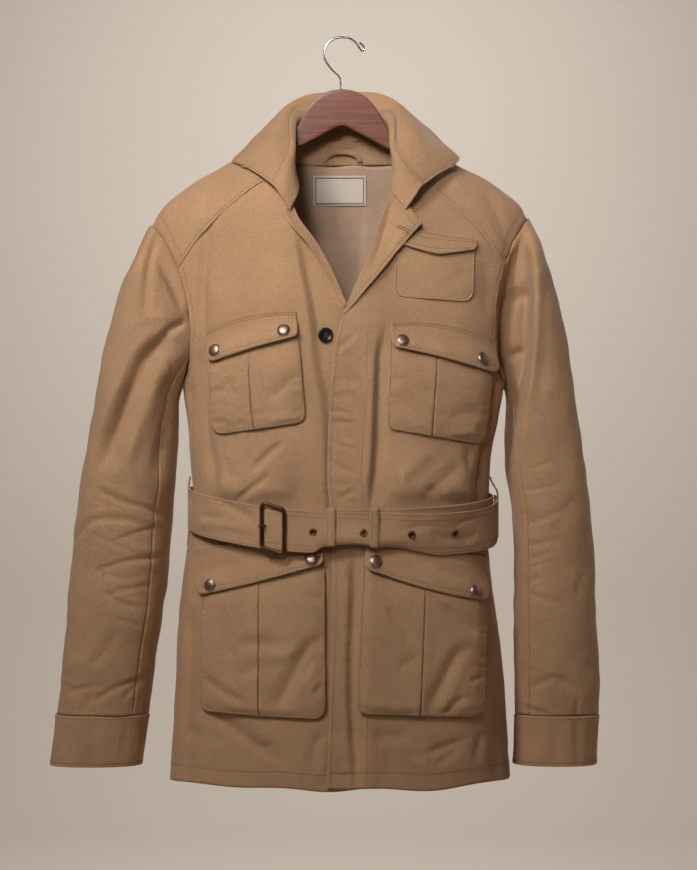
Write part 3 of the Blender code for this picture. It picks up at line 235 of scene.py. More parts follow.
# Stained cherry under varnish: red-brown with darker grain lines along the arms and fine short pores.
cherry, tree, shader = new_material("stained_cherry_varnished", Roughness=0.38, Coat_Weight=0.15,
                                    Coat_Roughness=0.2)
flat = add_node(tree, "ShaderNodeTexCoord")
grain_map = add_node(tree, "ShaderNodeMapping", {"Vector": flat.outputs["Object"],
                                                 "Scale": (9.0, 60.0, 240.0)})
grain = add_node(tree, "ShaderNodeTexNoise", {"Vector": grain_map.outputs["Vector"], "Scale": 1.0,
                                              "Detail": 4.0, "Distortion": 0.6})
pore_map = add_node(tree, "ShaderNodeMapping", {"Vector": flat.outputs["Object"],
                                                "Scale": (70.0, 400.0, 1100.0)})
pores = add_node(tree, "ShaderNodeTexNoise", {"Vector": pore_map.outputs["Vector"], "Scale": 1.0,
                                              "Detail": 2.0})
stain = add_node(tree, "ShaderNodeValToRGB", {"Fac": grain.outputs["Fac"]})
stain.color_ramp.elements[0].position, stain.color_ramp.elements[0].color = 0.3, paint("#5c2612")
stain.color_ramp.elements[1].position, stain.color_ramp.elements[1].color = 0.72, paint("#8a4726")
dark = add_node(tree, "ShaderNodeMapRange", {"Value": pores.outputs["Fac"], "From Min": 0.55,
                                            "From Max": 0.75, "To Min": 0.0, "To Max": 0.3})
wood = add_node(tree, "ShaderNodeMix", {"Factor": dark.outputs["Result"], "A": stain.outputs["Color"],
                                       "B": paint("#2c0f08")}, data_type="RGBA")
relief = add_node(tree, "ShaderNodeBump", {"Height": pores.outputs["Fac"], "Strength": 0.12,
                                          "Distance": 0.0004})
tree.links.new(wood.outputs["Result"], shader.inputs["Base Color"])
tree.links.new(relief.outputs["Normal"], shader.inputs["Normal"])
body = add_object("hanger_wood", grid_mesh("hanger_wood", points, AHEAD), cherry)
thicken = body.modifiers.new("board", "SOLIDIFY")
thicken.thickness, thicken.offset = HANGER_THICK * MM, -1.0
edges = body.modifiers.new("rounded", "BEVEL")
edges.width, edges.segments, edges.limit_method = HANGER_ROUND * MM, 4, "ANGLE"
edges.angle_limit = math.radians(60)
dress(body, "hanger_body")


def wire(name, points, radius, mat, closed=False):
    """A round wire along points, as a curve."""
    curve = bpy.data.curves.new(name, "CURVE")
    curve.dimensions, curve.bevel_resolution, curve.use_fill_caps = "3D", 4, not closed
    curve.bevel_depth = radius * MM
    line = curve.splines.new("POLY")
    line.points.add(len(points) - 1)
    for knot, point in zip(line.points, points):
        knot.co = (*(np.asarray(point) * MM), 1.0)
    line.use_cyclic_u, line.use_smooth = closed, True
    return add_object(name, curve, mat)


HOOK = ((-1.4, -66), (-1.4, -54), (-2.8, -48.5), (-6, -44), (-11.7, -39), (-17, -32.5), (-20.6, -26),
        (-21.7, -19), (-20.9, -12.5), (-18, -7), (-12.8, -2.2), (-5.5, 0.8), (1.5, 1.4), (8.4, 0.6),
        (13.5, -2), (17.7, -5.6), (20.3, -9.4), (22.2, -13), (25, -15.2), (27.6, -13.4), (26.6, -9.4),
        (21.6, -4.6))
HOOK_WIRE = 1.4
# Chrome plate on drawn wire: bright, with faint drawing lines that streak its gloss.
chrome, tree, shader = new_material("chrome_plate_on_wire", Metallic=1.0, Base_Color=paint("#cfd1d2"))
flat = add_node(tree, "ShaderNodeTexCoord")
lines = add_node(tree, "ShaderNodeTexNoise", {"Vector": flat.outputs["Object"], "Scale": 420.0, "Detail": 3.0})
gloss = add_node(tree, "ShaderNodeMapRange", {"Value": lines.outputs["Fac"], "To Min": 0.08, "To Max": 0.3})
tree.links.new(gloss.outputs["Result"], shader.inputs["Roughness"])
keys = np.arange(len(HOOK))
fine = np.linspace(0, len(HOOK) - 1, 110)
hook_x, hook_z = (hermite(keys, [row[k] for row in HOOK], fine) for k in (0, 1))
hook = wire("hook_wire", np.stack([hook_x, np.zeros_like(hook_x), hook_z], -1), HOOK_WIRE, chrome)
dress(hook, "hanger_hook")


# Back: one panel of tan cotton twill from the hem to the yoke seam, cut to curve round the armholes. It
# hangs from the shoulders and is drawn in by the belt, so it folds lengthwise above and below the waist.

RIGHT, LEFT = -1, 1
HEM, ARMPIT, SQUARE = -912.0, -424.0, 2.6
RIDGE_RADIUS, SHOULDER_FALL = 14.0, 75.0
FRONT, BACK = 3, 4
# level, half width right and left, depth in front and behind
TORSO = (
    (-912, 212, 206, 108, 66), (-800, 205, 200, 105, 64), (-740, 202, 194, 102, 62),
    (-690, 199, 187, 99, 60), (-652, 194, 182, 97, 58), (-615, 188, 180, 95, 57),
    (-578, 184, 180, 94, 56), (-548, 184, 181, 94, 56), (-511, 187, 184, 96, 57),
    (-467, 191, 193, 98, 59), (-424, 196, 200, 100, 60), (-385, 200, 203, 100, 60),
    (-340, 208, 208, 98, 58), (-290, 222, 220, 95, 55), (-231, 243, 240, 92, 52), (-100, 300, 300, 88, 48),
)
# Sleeve rings from the armhole to the cuff: outer x and z, inner x and z, depth in front and behind, bow
SLEEVE = {
    RIGHT: (
        (236.5, -231, 196, -424, 0, 0, 28), (254, -274, 200, -440, 66, 50, 18),
        (272, -310, 201, -456, 65, 52, 10), (288, -362, 201.5, -474, 63, 54, 4),
        (299, -415, 202.5, -497, 62, 55, 0), (309, -478, 203.5, -528, 60, 55, 0),
        (322, -550, 206.5, -565, 60, 52, 0), (330, -602, 210.5, -608, 58, 48, 0),
        (334, -660, 214.5, -660, 55, 44, 0), (339, -715, 221.5, -715, 52, 39, 0),
        (345, -780, 231.5, -780, 47, 33, 0), (351.7, -830.7, 237.6, -830.7, 42, 28, 0),
    ),
    LEFT: (
        (231.5, -222, 200, -424, 0, 0, 26), (246, -262, 203.5, -440, 66, 50, 17),
        (259, -303, 203, -456, 65, 52, 10), (271, -350, 201.5, -476, 63, 54, 4),
        (281, -405, 200, -498, 62, 55, 0), (290, -470, 200.5, -530, 60, 55, 0),
        (302, -545, 206, -562, 60, 52, 0), (308, -602, 210.5, -606, 58, 48, 0),
        (311.5, -660, 211.3, -660, 55, 44, 0), (313, -715, 211.6, -715, 52, 39, 0),
        (317, -780, 212.2, -780, 47, 33, 0), (316, -830.7, 212.6, -830.7, 42, 28, 0),
    ),
}
FRONT_SEAM_ANGLE, BACK_SEAM_ANGLE = 65.0, -30.0
BACK_SEAM = -236.0
PANEL_TOP, TUCK, TUCK_FROM, TUCK_TO, HEM_FADE = 1.02, 1.7, 0.975, 1.005, 0.12


def soft_step(value, low, high):
    """0 below low, 1 above high, smooth between."""
    t = np.clip((value - low) / (high - low), 0.0, 1.0)
    return t * t * (3 - 2 * t)


def side_of(x):
    return np.where(np.asarray(x) < 0, RIGHT, LEFT)


def half_width(x, z):
    return np.where(np.asarray(x) < 0, read_table(TORSO, z, 1), read_table(TORSO, z, 2))


def depth(face, x, z):
    """Distance of the body's cloth in front of or behind the hanger's plane."""
    share = np.minimum(np.abs(x) / half_width(x, z), 1.0)
    rim = (1 - share ** SQUARE) ** (1 / SQUARE)
    drop = np.maximum(ridge(x) - z, 0.0)
    near = np.exp(-drop / SHOULDER_FALL)
    crest = RIDGE_RADIUS * np.sqrt(1 - np.exp(-drop / RIDGE_RADIUS)) * np.minimum(1.0, 3 * rim)
    return crest * near + read_table(TORSO, z, face) * rim * (1 - near)


def turn_of(x, z):
    """Angle round the body, 0 at the middle and 90 degrees at the side, of a point at x."""
    share = np.minimum(np.abs(x) / half_width(x, z), 1.0)
    return side_of(x) * np.degrees(np.arcsin(share ** (SQUARE / 2)))


def x_at_turn(turn, z):
    return side_of(turn) * half_width(turn, z) * np.abs(np.sin(np.radians(turn))) ** (2 / SQUARE)


def girth_of(x, z):
    """Share of the way from the middle to the side, which grows evenly over the cloth."""
    return side_of(x) * (np.abs(turn_of(x, z)) / 90.0) ** (2 / SQUARE)


def x_at_girth(girth, z):
    return x_at_turn(side_of(girth) * 90.0 * np.minimum(np.abs(girth), 1.0) ** (SQUARE / 2), z)


def girth_spot(x, z):
    """A spot of a panel: its share of the girth and its level."""
    return np.stack([girth_of(x, z), z], -1)


def ring_point(ring, side, angle):
    """Point of a sleeve ring: 0 at its outer point, 180 degrees at its inner, positive in front."""
    out_x, out_z, in_x, in_z, front, back, bow = ring
    cos, sin = np.cos(np.radians(angle)), np.sin(np.radians(angle))
    mid_x, mid_z = (out_x + in_x) / 2, (out_z + in_z) / 2
    x = mid_x + cos * (out_x - mid_x) - bow * np.abs(sin) ** 1.5
    z = mid_z + cos * (out_z - mid_z)
    square = np.where(cos > 0, np.clip(2 * front / max(out_x - mid_x, 1.0), 2.4, 4.5), 2.1)
    flat = (1 - np.abs(cos) ** square) ** (1 / square)
    y = np.where(sin > 0, -flat * front, -sin * back)
    return np.stack([side * x, y, z], -1)


def armhole_point(side, angle):
    """Point of the armhole, on the body's surface."""
    point = ring_point(SLEEVE[side][0], side, np.asarray(angle, float))
    x, z = point[..., 0], point[..., 2]
    front = np.sin(np.radians(angle)) > 0
    point[..., 1] = np.where(front, -depth(FRONT, x, z), depth(BACK, x, z))
    return point


def coons(bottom, top, start, end, s, t):
    """Spots inside four edge curves: bottom and top by s, start and end by t."""
    a, b = s[..., None], t[..., None]
    none, all_ = np.zeros_like(s), np.ones_like(s)
    ruled = bottom(s) * (1 - b) + top(s) * b + start(t) * (1 - a) + end(t) * a
    corners = ((bottom(none) * (1 - a) + bottom(all_) * a) * (1 - b)
               + (top(none) * (1 - a) + top(all_) * a) * b)
    return ruled - corners


def normal_of(surface, s, t, outside):
    """Outward normals of a surface; outside points out at its middle."""
    def raw(s, t):
        d = 0.002
        a = surface(np.minimum(s + d, 1.0), t) - surface(np.maximum(s - d, 0.0), t)
        b = surface(s, np.minimum(t + d, 1.0)) - surface(s, np.maximum(t - d, 0.0))
        n = np.cross(a, b)
        return n / np.maximum(np.linalg.norm(n, axis=-1, keepdims=True), 1e-9)

    middle = np.array([0.5])
    hand = 1.0 if np.dot(raw(middle, middle)[0], outside) > 0 else -1.0
    return raw(s, t) * hand


def crease_push(creases, x, z):
    """How far creases push cloth in. Each has a half width, a lean that widens one flank, a depth (less
    than 0 for a ridge) and a path, seen from the front; it dies out at its ends and raises soft lips."""
    push = np.zeros(x.size)
    flat_x, flat_z = x.ravel(), z.ravel()
    for width, lean, deep, *path in creases:
        path = np.array(path, float)
        fine = np.linspace(0, len(path) - 1, 4 * (len(path) - 1) + 1)
        line = np.stack([hermite(np.arange(len(path)), path[:, k], fine) for k in (0, 1)], -1)
        reach = 3 * width * (1 + abs(lean))
        low, high = line.min(0) - reach, line.max(0) + reach
        near = np.flatnonzero((flat_x > low[0]) & (flat_x < high[0])
                              & (flat_z > low[1]) & (flat_z < high[1]))
        if near.size == 0:
            continue
        px, pz = flat_x[near], flat_z[near]
        best, flank, along = np.full(near.size, 1e9), np.zeros(near.size), np.zeros(near.size)
        total = 0.0
        for (ax, az), (bx, bz) in zip(line[:-1], line[1:]):
            vx, vz = bx - ax, bz - az
            length = math.hypot(vx, vz)
            u = np.clip(((px - ax) * vx + (pz - az) * vz) / length ** 2, 0.0, 1.0)
            dx, dz = px - ax - u * vx, pz - az - u * vz
            gap = np.hypot(dx, dz)
            closer = gap < best
            best = np.where(closer, gap, best)
            flank = np.where(closer, np.sign(vx * dz - vz * dx), flank)
            along = np.where(closer, total + u * length, along)
            total += length
        share = along / total
        taper = soft_step(share, 0.0, 0.25) * (1 - soft_step(share, 0.7, 1.0))
        q = best / (width * (1 + lean * flank))
        bend = np.interp(width, (5.0, 14.0), (0.18, 0.6))
        fold = 0.5 * (np.hypot(q + 1, 0.45) + np.hypot(q - 1, 0.45)) - np.hypot(q, bend)
        lip = 0.15 * np.exp(-((q - 1.7) / 0.55) ** 2)
        push[near] += deep * taper * (fold / (1.097 - bend) - lip) * (1 - soft_step(q, 2.0, 3.0))
    return push.reshape(x.shape)


def crumple(point, seed, deep):
    """The faint unevenness of worn cloth: crossing waves of many lengths with angular crests."""
    pick = np.random.default_rng(seed)
    push = np.zeros(point.shape[:-1])
    for _ in range(11):
        way, sway = pick.normal(size=(2, 3))
        length = pick.uniform(16.0, 95.0)
        phase = point @ (way / np.linalg.norm(way)) / length
        phase = phase + 0.3 * np.sin(point @ sway / 60.0) + pick.uniform()
        push += np.arcsin(0.95 * np.sin(2 * math.pi * phase)) * length / 60.0
    return push * deep / 3


def gathers(along, off, total, seed, spacing=10.5, reach=9.0, deep=1.3):
    """Small puckers that a line of stitching draws in cloth, by distance along it and off it."""
    pick = np.random.default_rng(seed)
    push = np.zeros_like(along)
    place = pick.uniform(3.0, spacing)
    while place < total:
        long, strong = reach * pick.uniform(0.6, 1.5), deep * pick.uniform(0.4, 1.3)
        push += strong * np.exp(-((along - place) / pick.uniform(2.0, 3.4)) ** 2 - (off / long) ** 2)
        place += spacing * pick.uniform(0.6, 1.5)
    return push


def creased(base, outside, front=(), back=(), seed=1, deep=0.5, drawn=None):
    """A surface with creases pushed in square to the cloth on the sides that face front and back, worn
    uneven by a depth and drawn in along its stitching."""
    def surface(s, t):
        point = base(s, t)
        normal = normal_of(base, s, t, outside)
        x, z = point[..., 0], point[..., 2]
        push = crumple(point, seed, deep)
        if front:
            push = push + crease_push(front, x, z) * np.clip(-1.6 * normal[..., 1], 0.0, 1.0)
        if back:
            push = push + crease_push(back, x, z) * np.clip(1.6 * normal[..., 1], 0.0, 1.0)
        if drawn:
            push = push + drawn(s, t)
        return point - normal * push[..., None]
    return surface


def packed(total, step, centre=None):
    """Places along a length as shares: close together at both ends and round a centre, else a step apart."""
    close = np.array((0.0, 0.5, 1.0, 1.6, 2.6, 4.0, 6.0, 8.5))
    places = [close, total - close, np.linspace(close[-1], total - close[-1], int((total - 17.0) / step) + 2)]
    if centre:
        places += [centre * total - close[:6], centre * total + close[:6]]
    return np.unique(np.round(np.concatenate(places) / total, 5))


def woven(name, warp, weft, worn, pitch, slope, contrast):
    """Material of a woven cloth: ribs of a pitch in millimetres at a slope, slubs, a wash cloud, edges
    paler partly from rubbing and partly as a painted highlight, and the small wrinkles of wear."""
    mat, tree, shader = new_material(name, Roughness=0.88, Sheen_Weight=0.18, Sheen_Roughness=0.45)
    shader.inputs["Specular IOR Level"].default_value = 0.22
    flat = add_node(tree, "ShaderNodeUVMap", uv_map="weave")
    turned = add_node(tree, "ShaderNodeMapping", {"Vector": flat.outputs["UV"],
                                                  "Rotation": (0.0, 0.0, math.radians(slope))})
    ribs = add_node(tree, "ShaderNodeTexWave", {"Vector": turned.outputs["Vector"],
                                                "Scale": math.pi / (10 * pitch * MM), "Distortion": 2.5,
                                                "Detail": 2.0, "Detail Scale": 2.0})
    space = add_node(tree, "ShaderNodeTexCoord")
    slubs = add_node(tree, "ShaderNodeTexNoise", {"Vector": space.outputs["Object"], "Scale": 800.0,
                                                  "Detail": 3.0, "Roughness": 0.65})
    wash = add_node(tree, "ShaderNodeTexNoise", {"Vector": space.outputs["Object"], "Scale": 17.0,
                                                 "Detail": 4.0, "Roughness": 0.6})
    faint = add_node(tree, "ShaderNodeMapRange", {"Value": ribs.outputs["Fac"], "To Min": 0.6, "To Max": 1.0})
    thread = add_node(tree, "ShaderNodeMath", {0: faint.outputs["Result"], 1: slubs.outputs["Fac"]},
                      operation="MULTIPLY")
    weave = add_node(tree, "ShaderNodeMapRange", {"Value": thread.outputs["Value"], "From Min": 0.1,
                                                  "From Max": 0.6, "To Min": 0.5 - contrast,
                                                  "To Max": 0.5 + contrast})
    cloth_tone = add_node(tree, "ShaderNodeMix", {"Factor": weave.outputs["Result"], "A": paint(weft),
                                                 "B": paint(warp)}, data_type="RGBA")
    cloud = add_node(tree, "ShaderNodeMapRange", {"Value": wash.outputs["Fac"], "From Min": 0.3,
                                                  "From Max": 0.7, "To Min": 0.9, "To Max": 1.06})
    washed = add_node(tree, "ShaderNodeVectorMath", {0: cloth_tone.outputs["Result"],
                                                     "Scale": cloud.outputs["Result"]}, operation="SCALE")
    # Paler within 1.5 mm of each piece's edge, in the colour given as worn: partly rubbed wear, partly a painted
    # highlight where light catches the turned edges.
    edge = add_node(tree, "ShaderNodeAttribute", attribute_name="edge")
    rubbed_and_lit_edge = add_node(tree, "ShaderNodeMapRange", {"Value": edge.outputs["Fac"], "From Min": 0.0,
                                                   "From Max": 0.0015, "To Min": 0.12, "To Max": 0.0})
    colour = add_node(tree, "ShaderNodeMix", {"Factor": rubbed_and_lit_edge.outputs["Result"],
                                             "A": washed.outputs["Vector"], "B": paint(worn)},
                      data_type="RGBA")
    puckers = add_node(tree, "ShaderNodeTexNoise", {"Vector": space.outputs["Object"], "Scale": 60.0,
                                                    "Detail": 3.0, "Roughness": 0.55, "Distortion": 0.8})
    worn_in = add_node(tree, "ShaderNodeBump", {"Height": puckers.outputs["Fac"], "Strength": 0.6,
                                                "Distance": 0.0025})
    relief = add_node(tree, "ShaderNodeBump", {"Height": thread.outputs["Value"], "Strength": 0.5,
                                              "Distance": 0.0006, "Normal": worn_in.outputs["Normal"]})
    tree.links.new(colour.outputs["Result"], shader.inputs["Base Color"])
    tree.links.new(relief.outputs["Normal"], shader.inputs["Normal"])
    return mat


# Cotton twill, piece dyed and washed: tan, with steep fine diagonal ribs (real ribs stand 0.7 mm apart and
# are drawn at 1.8 mm so that they show), cloudy from washing; its paler edges are partly rubbed wear, partly
# painted highlight.
twill = woven("tan_cotton_twill_washed", "#c09a77", "#987453", "#cbab8b", 1.8, 32.0, 0.9)


def cloth(name, surface, across, up, outside, wall, mat, inward=True, ring=False,
          rim=0.0, weld=False):
    """A cloth piece: a sheet on a surface, given its wall."""
    s, t = np.meshgrid(np.asarray(across, float), np.asarray(up, float))
    points = surface(s.ravel(), t.ravel()).reshape(*s.shape, 3)
    mesh = grid_mesh(name + "_cloth", points, outside, ring)
    if weld:
        work = bmesh.new()
        work.from_mesh(mesh)
        bmesh.ops.remove_doubles(work, verts=work.verts, dist=1e-6)
        work.to_mesh(mesh)
        work.free()
    thing = add_object(name + "_cloth", mesh, mat)
    thicken = thing.modifiers.new("wall", "SOLIDIFY")
    thicken.thickness, thicken.offset = wall * MM, -1.0 if inward else 1.0
    if rim:
        edges = thing.modifiers.new("turned_edge", "BEVEL")
        edges.width, edges.segments, edges.limit_method = rim * MM, 2, "ANGLE"
        edges.angle_limit = math.radians(55)
    dress(thing, name)


def mottled(name, dark, pale, scale, detail=2.0, gloss=None, **sockets):
    """A material whose colour, and roughness where a range is given, follow a fine noise on the piece."""
    mat, tree, shader = new_material(name, **sockets)
    place = add_node(tree, "ShaderNodeTexCoord")
    noise = add_node(tree, "ShaderNodeTexNoise", {"Vector": place.outputs["Object"], "Scale": scale,
                                                  "Detail": detail})
    tone = add_node(tree, "ShaderNodeMix", {"Factor": noise.outputs["Fac"], "A": paint(dark),
                                           "B": paint(pale)}, data_type="RGBA")
    tree.links.new(tone.outputs["Result"], shader.inputs["Base Color"])
    if gloss:
        rough = add_node(tree, "ShaderNodeMapRange", {"Value": noise.outputs["Fac"], "To Min": gloss[0],
                                                      "To Max": gloss[1]})
        tree.links.new(rough.outputs["Result"], shader.inputs["Roughness"])
    return mat


# Sewing thread, corespun, with a light twist: coloured darker than the cloth as painted shade, standing in for
# the shadows of the needle holes and the sunken stitch line.
sewing = mottled("sewing_thread_painted_shade", "#4a3220", "#6e4f33", 900.0, Roughness=0.7, Sheen_Weight=0.2)
chance = np.random.default_rng(7)
STITCH_PITCH, STITCH_LENGTH, STITCH_HALF = 3.2, 2.3, 0.5


def sew_line(surface, s, t, outside, lift=0.0):
    """A line of stitching on a surface: points along it and the ways out."""
    s, t = np.asarray(s, float), np.asarray(t, float)
    normal = normal_of(surface, s, t, outside)
    return surface(s, t) + normal * lift, normal


def sew_across(surface, t, outside, first, last, count, lift=0.0):
    """Stitching at one height of a surface, between two places across."""
    return sew_line(surface, np.linspace(first, last, count), np.full(count, t), outside, lift)


def sew_up(surface, s, outside, first, last, count, lift=0.0):
    """Stitching at one place across a surface, between two heights."""
    return sew_line(surface, np.full(count, s), np.linspace(first, last, count), outside, lift)


def thread(name, lines, pitch=STITCH_PITCH, long=STITCH_LENGTH):
    """Single stitches along lines, joined as one mesh; each dips into the cloth at both ends."""
    ring = np.array([(1, -0.4), (0, 1), (-1, -0.4)], float)
    stations = np.array(((-0.5, 0.35, -0.1), (0.0, 1.0, 0.22), (0.5, 0.35, -0.1)))
    pieces = []
    for points, normals in lines:
        run = np.concatenate([[0.0], np.cumsum(np.linalg.norm(np.diff(points, axis=0), axis=1))])
        places = np.arange(pitch / 2, max(run[-1], pitch * 0.6), pitch)
        places = places + chance.uniform(-0.2, 0.2, places.size)
        before, middle, after = (np.stack([np.interp(places + shift, run, points[:, k]) for k in range(3)], -1)
                                 for shift in (-0.5, 0.0, 0.5))
        along = after - before
        along /= np.maximum(np.linalg.norm(along, axis=1, keepdims=True), 1e-9)
        out = np.stack([np.interp(places, run, normals[:, k]) for k in range(3)], -1)
        beside = np.cross(along, out)
        centre = (middle[:, None] + along[:, None] * (stations[:, :1] * long)
                  + out[:, None] * stations[:, 2:])[:, :, None]
        spread = beside[:, None, None] * ring[:, :1] + out[:, None, None] * ring[:, 1:]
        pieces.append((centre + spread * (STITCH_HALF * stations[:, 1])[None, :, None, None]).reshape(-1, 9, 3))
    verts = np.concatenate(pieces)
    sides = np.array([(3 * k + j, 3 * k + (j + 1) % 3, 3 * k + 3 + (j + 1) % 3, 3 * k + 3 + j)
                      for k in range(2) for j in range(3)])
    faces = (np.arange(len(verts))[:, None, None] * 9 + sides).reshape(-1, 4)
    mesh = bpy.data.meshes.new(name)
    mesh.from_pydata((verts.reshape(-1, 3) * MM).tolist(), [], faces.tolist())
    mesh.shade_smooth()
    thing = add_object(name, mesh, sewing)
    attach(thing, "root")


CLOTH_WALL, FOLDED_WALL = 1.4, 2.0
# half width, lean, depth, path
BACK_CREASES = (
    (24, 0, 7, (-122, -280), (-112, -430), (-100, -580)), (26, 0, 8, (107, -300), (98, -440), (92, -580)),
    (26, 0, 8, (-58, -612), (-70, -760), (-86, -940)), (24, 0, 7, (68, -620), (84, -770), (98, -940)),
    (7, .2, 3.2, (-42, -480), (-38, -530), (-36, -572)), (5, 0, 3, (10, -500), (13, -570)),
    (6, -.2, 3.6, (54, -470), (50, -572)), (5, 0, 2.6, (-152, -490), (-148, -572)),
    (6, 0, 3.2, (142, -485), (138, -572)), (8, 0, 4.2, (-18, -605), (-24, -650), (-30, -705)),
    (6, .3, 3, (30, -605), (37, -690)), (7, 0, 3.6, (-130, -605), (-143, -712)),
    (8, 0, 3.8, (130, -605), (141, -700)), (8, .3, 3.8, (-205, -375), (-165, -412), (-120, -445)),
    (9, -.3, 3.4, (203, -370), (160, -415), (118, -462)), (11, 0, 3, (-160, -262), (-110, -290), (-55, -300)),
    (10, 0, 2.6, (58, -302), (105, -290), (158, -268)), (9, 0, 3, (-150, -830), (-120, -880), (-112, -925)),
    (8, 0, 2.6, (150, -800), (160, -870), (158, -925)),
)


def hem_wave(x):
    """The hem hangs unevenly: rise of the edge above its level."""
    return 2.0 + 2.2 * np.sin(x / 37.0 + 0.8) + 1.6 * np.sin(x / 19.0 + 2.1)


def back_seam_level(x):
    """The back yoke seam drops a little towards the armholes."""
    ends = {side: armhole_point(side, BACK_SEAM_ANGLE) for side in (RIGHT, LEFT)}
    end_x = np.where(x < 0, ends[RIGHT][0], ends[LEFT][0])
    end_z = np.where(x < 0, ends[RIGHT][2], ends[LEFT][2])
    return blend(BACK_SEAM, end_z, (x / end_x) ** 2)


def back_seam_x(s):
    return blend(armhole_point(RIGHT, BACK_SEAM_ANGLE)[0], armhole_point(LEFT, BACK_SEAM_ANGLE)[0], s)


LOWER_SHARE = 0.72


def upper_share(t):
    """Share of the way from the armpit to the shoulder seam."""
    return np.clip((t - LOWER_SHARE) / (1 - LOWER_SHARE), 0.0, 1.0)


def back_base(s, t):
    level = blend(HEM, ARMPIT, np.minimum(t / LOWER_SHARE, 1.0))
    low = np.stack([blend(-1.0, 1.0, s), level], -1)

    def seam(s):
        x = back_seam_x(s)
        z = back_seam_level(x)
        return girth_spot(x, z)

    def armhole(side):
        def edge(t):
            point = armhole_point(side, blend(-180.0, BACK_SEAM_ANGLE, t))
            return girth_spot(point[..., 0], point[..., 2])
        return edge

    up = upper_share(t) * PANEL_TOP
    high = coons(lambda u: np.stack([blend(-1.0, 1.0, u), np.full_like(u, ARMPIT)], -1), seam,
                 armhole(RIGHT), armhole(LEFT), s, up)
    spot = np.where((t <= LOWER_SHARE)[..., None], low, high)
    x, z = x_at_girth(spot[..., 0], spot[..., 1]), spot[..., 1]
    y = depth(BACK, x, z) - TUCK * soft_step(up, TUCK_FROM, TUCK_TO)
    z = z + hem_wave(x) * (1 - soft_step(t, 0.0, HEM_FADE))
    return np.stack([x, y, z], -1)


back_surface = creased(back_base, BEHIND, back=BACK_CREASES)
cloth("back_panel", back_surface, np.linspace(0, 1, 130), np.linspace(0, 1, 150), BEHIND, CLOTH_WALL,
      twill)
thread("back_hem_stitch", [sew_across(back_surface, 0.031, BEHIND, 0.0, 1.0, 300)])


# Yoke: one piece of twill over both shoulders, from the front yoke seams to the back seam, cut away
# for the neck. It rests on the hanger's arms and carries the rest; its front seams are topstitched.

NECK_FRONT = -168.0
FRONT_SEAM = ((66, -168), (102, -184), (137, -212), (160, -234), (176, -252), (188, -270))
# share, distance from the middle, position across the ridge
NECKLINE = ((0.0, 66, -0.98), (0.3, 65, -0.45), (0.5, 64, 0.0), (0.65, 56, 0.36), (0.8, 38, 0.64),
            (1.0, 0, 0.914))
ACROSS_DROP = 55.0
# Along the yoke's inner edge: end of the right front seam, middle of the neck, start of the left seam, end
YOKE_NECK, YOKE_MIDDLE, YOKE_LEFT, YOKE_RUN = 11, 17, 23, 34
# The edge sinks under the sleeve head, most at the shoulder's tip
YOKE_EDGE_SINK, YOKE_TIP_SINK, YOKE_TIP = 1.2, 2.4, 0.684
YOKE_CREASES = (
    (10, 0, 1.8, (-162, -162), (-152, -190), (-143, -216)),
    (9, 0, 2.2, (174, -178), (186, -212), (196, -238), (206, -272)),
    (10, 0, 1.2, (-196, -196), (-204, -226), (-208, -258)), (9, 0, 1.4, (124, -160), (130, -204)),
)
YOKE_BACK_CREASES = (
    (10, 0, 3, (-150, -190), (-120, -215), (-96, -230)), (10, 0, 2.6, (92, -228), (126, -212), (158, -190)),
)


def front_seam(side, share):
    """Front yoke seam from the neck (0) to the armhole (1), as x and level."""
    end = armhole_point(side, FRONT_SEAM_ANGLE)
    rows = FRONT_SEAM + ((abs(end[0]), end[2]),)
    reach = blend(rows[0][0], rows[-1][0], share)
    return side * reach, read_table(rows, reach)


def across_of(x, z, way):
    """Position across the shoulder ridge: 0 on it, negative in front."""
    return way * np.sqrt(np.maximum(ridge(x) - z, 0.0) / ACROSS_DROP)


def yoke_base(s, t):
    def front_part(side, share):
        x, z = front_seam(side, np.clip(share, 0.0, 1.0))
        return np.stack([x, across_of(x, z, -1)], -1)

    def neck(side, share):
        share = np.clip(share, 0.0, 1.0)
        return np.stack([side * read_table(NECKLINE, share, 1), read_table(NECKLINE, share, 2)], -1)

    def lower(s):
        place = s * float(YOKE_RUN)
        k, half = place[..., None], YOKE_MIDDLE - YOKE_NECK
        return np.where(k < YOKE_NECK, front_part(RIGHT, 1 - place / YOKE_NECK),
                        np.where(k < YOKE_MIDDLE, neck(RIGHT, (place - YOKE_NECK) / half),
                                 np.where(k < YOKE_LEFT, neck(LEFT, (YOKE_LEFT - place) / half),
                                          front_part(LEFT, (place - YOKE_LEFT) / YOKE_NECK))))

    def upper(s):
        x = back_seam_x(s)
        return np.stack([x, across_of(x, back_seam_level(x), 1)], -1)

    def armhole(side):
        # A smooth curve over the ridge, through armhole points that lie away from it
        keys = np.array((0.0, 0.14, 0.28, 0.42, 0.54, 0.82, 0.91, 1.0))
        angle = blend(FRONT_SEAM_ANGLE, BACK_SEAM_ANGLE, keys)
        point = armhole_point(side, angle)
        rows = across_of(point[..., 0], point[..., 2], np.where(angle > 0, -1, 1))

        def edge(t):
            point = armhole_point(side, blend(FRONT_SEAM_ANGLE, BACK_SEAM_ANGLE, t))
            return np.stack([point[..., 0], hermite(keys, rows, t)], -1)
        return edge

    spot = coons(lower, upper, armhole(RIGHT), armhole(LEFT), s, t)
    x, pos = spot[..., 0], spot[..., 1]
    z = ridge(x) - ACROSS_DROP * pos * pos
    y = np.where(pos < 0, -depth(FRONT, x, z), depth(BACK, x, z))
    return np.stack([x, y, z], -1)


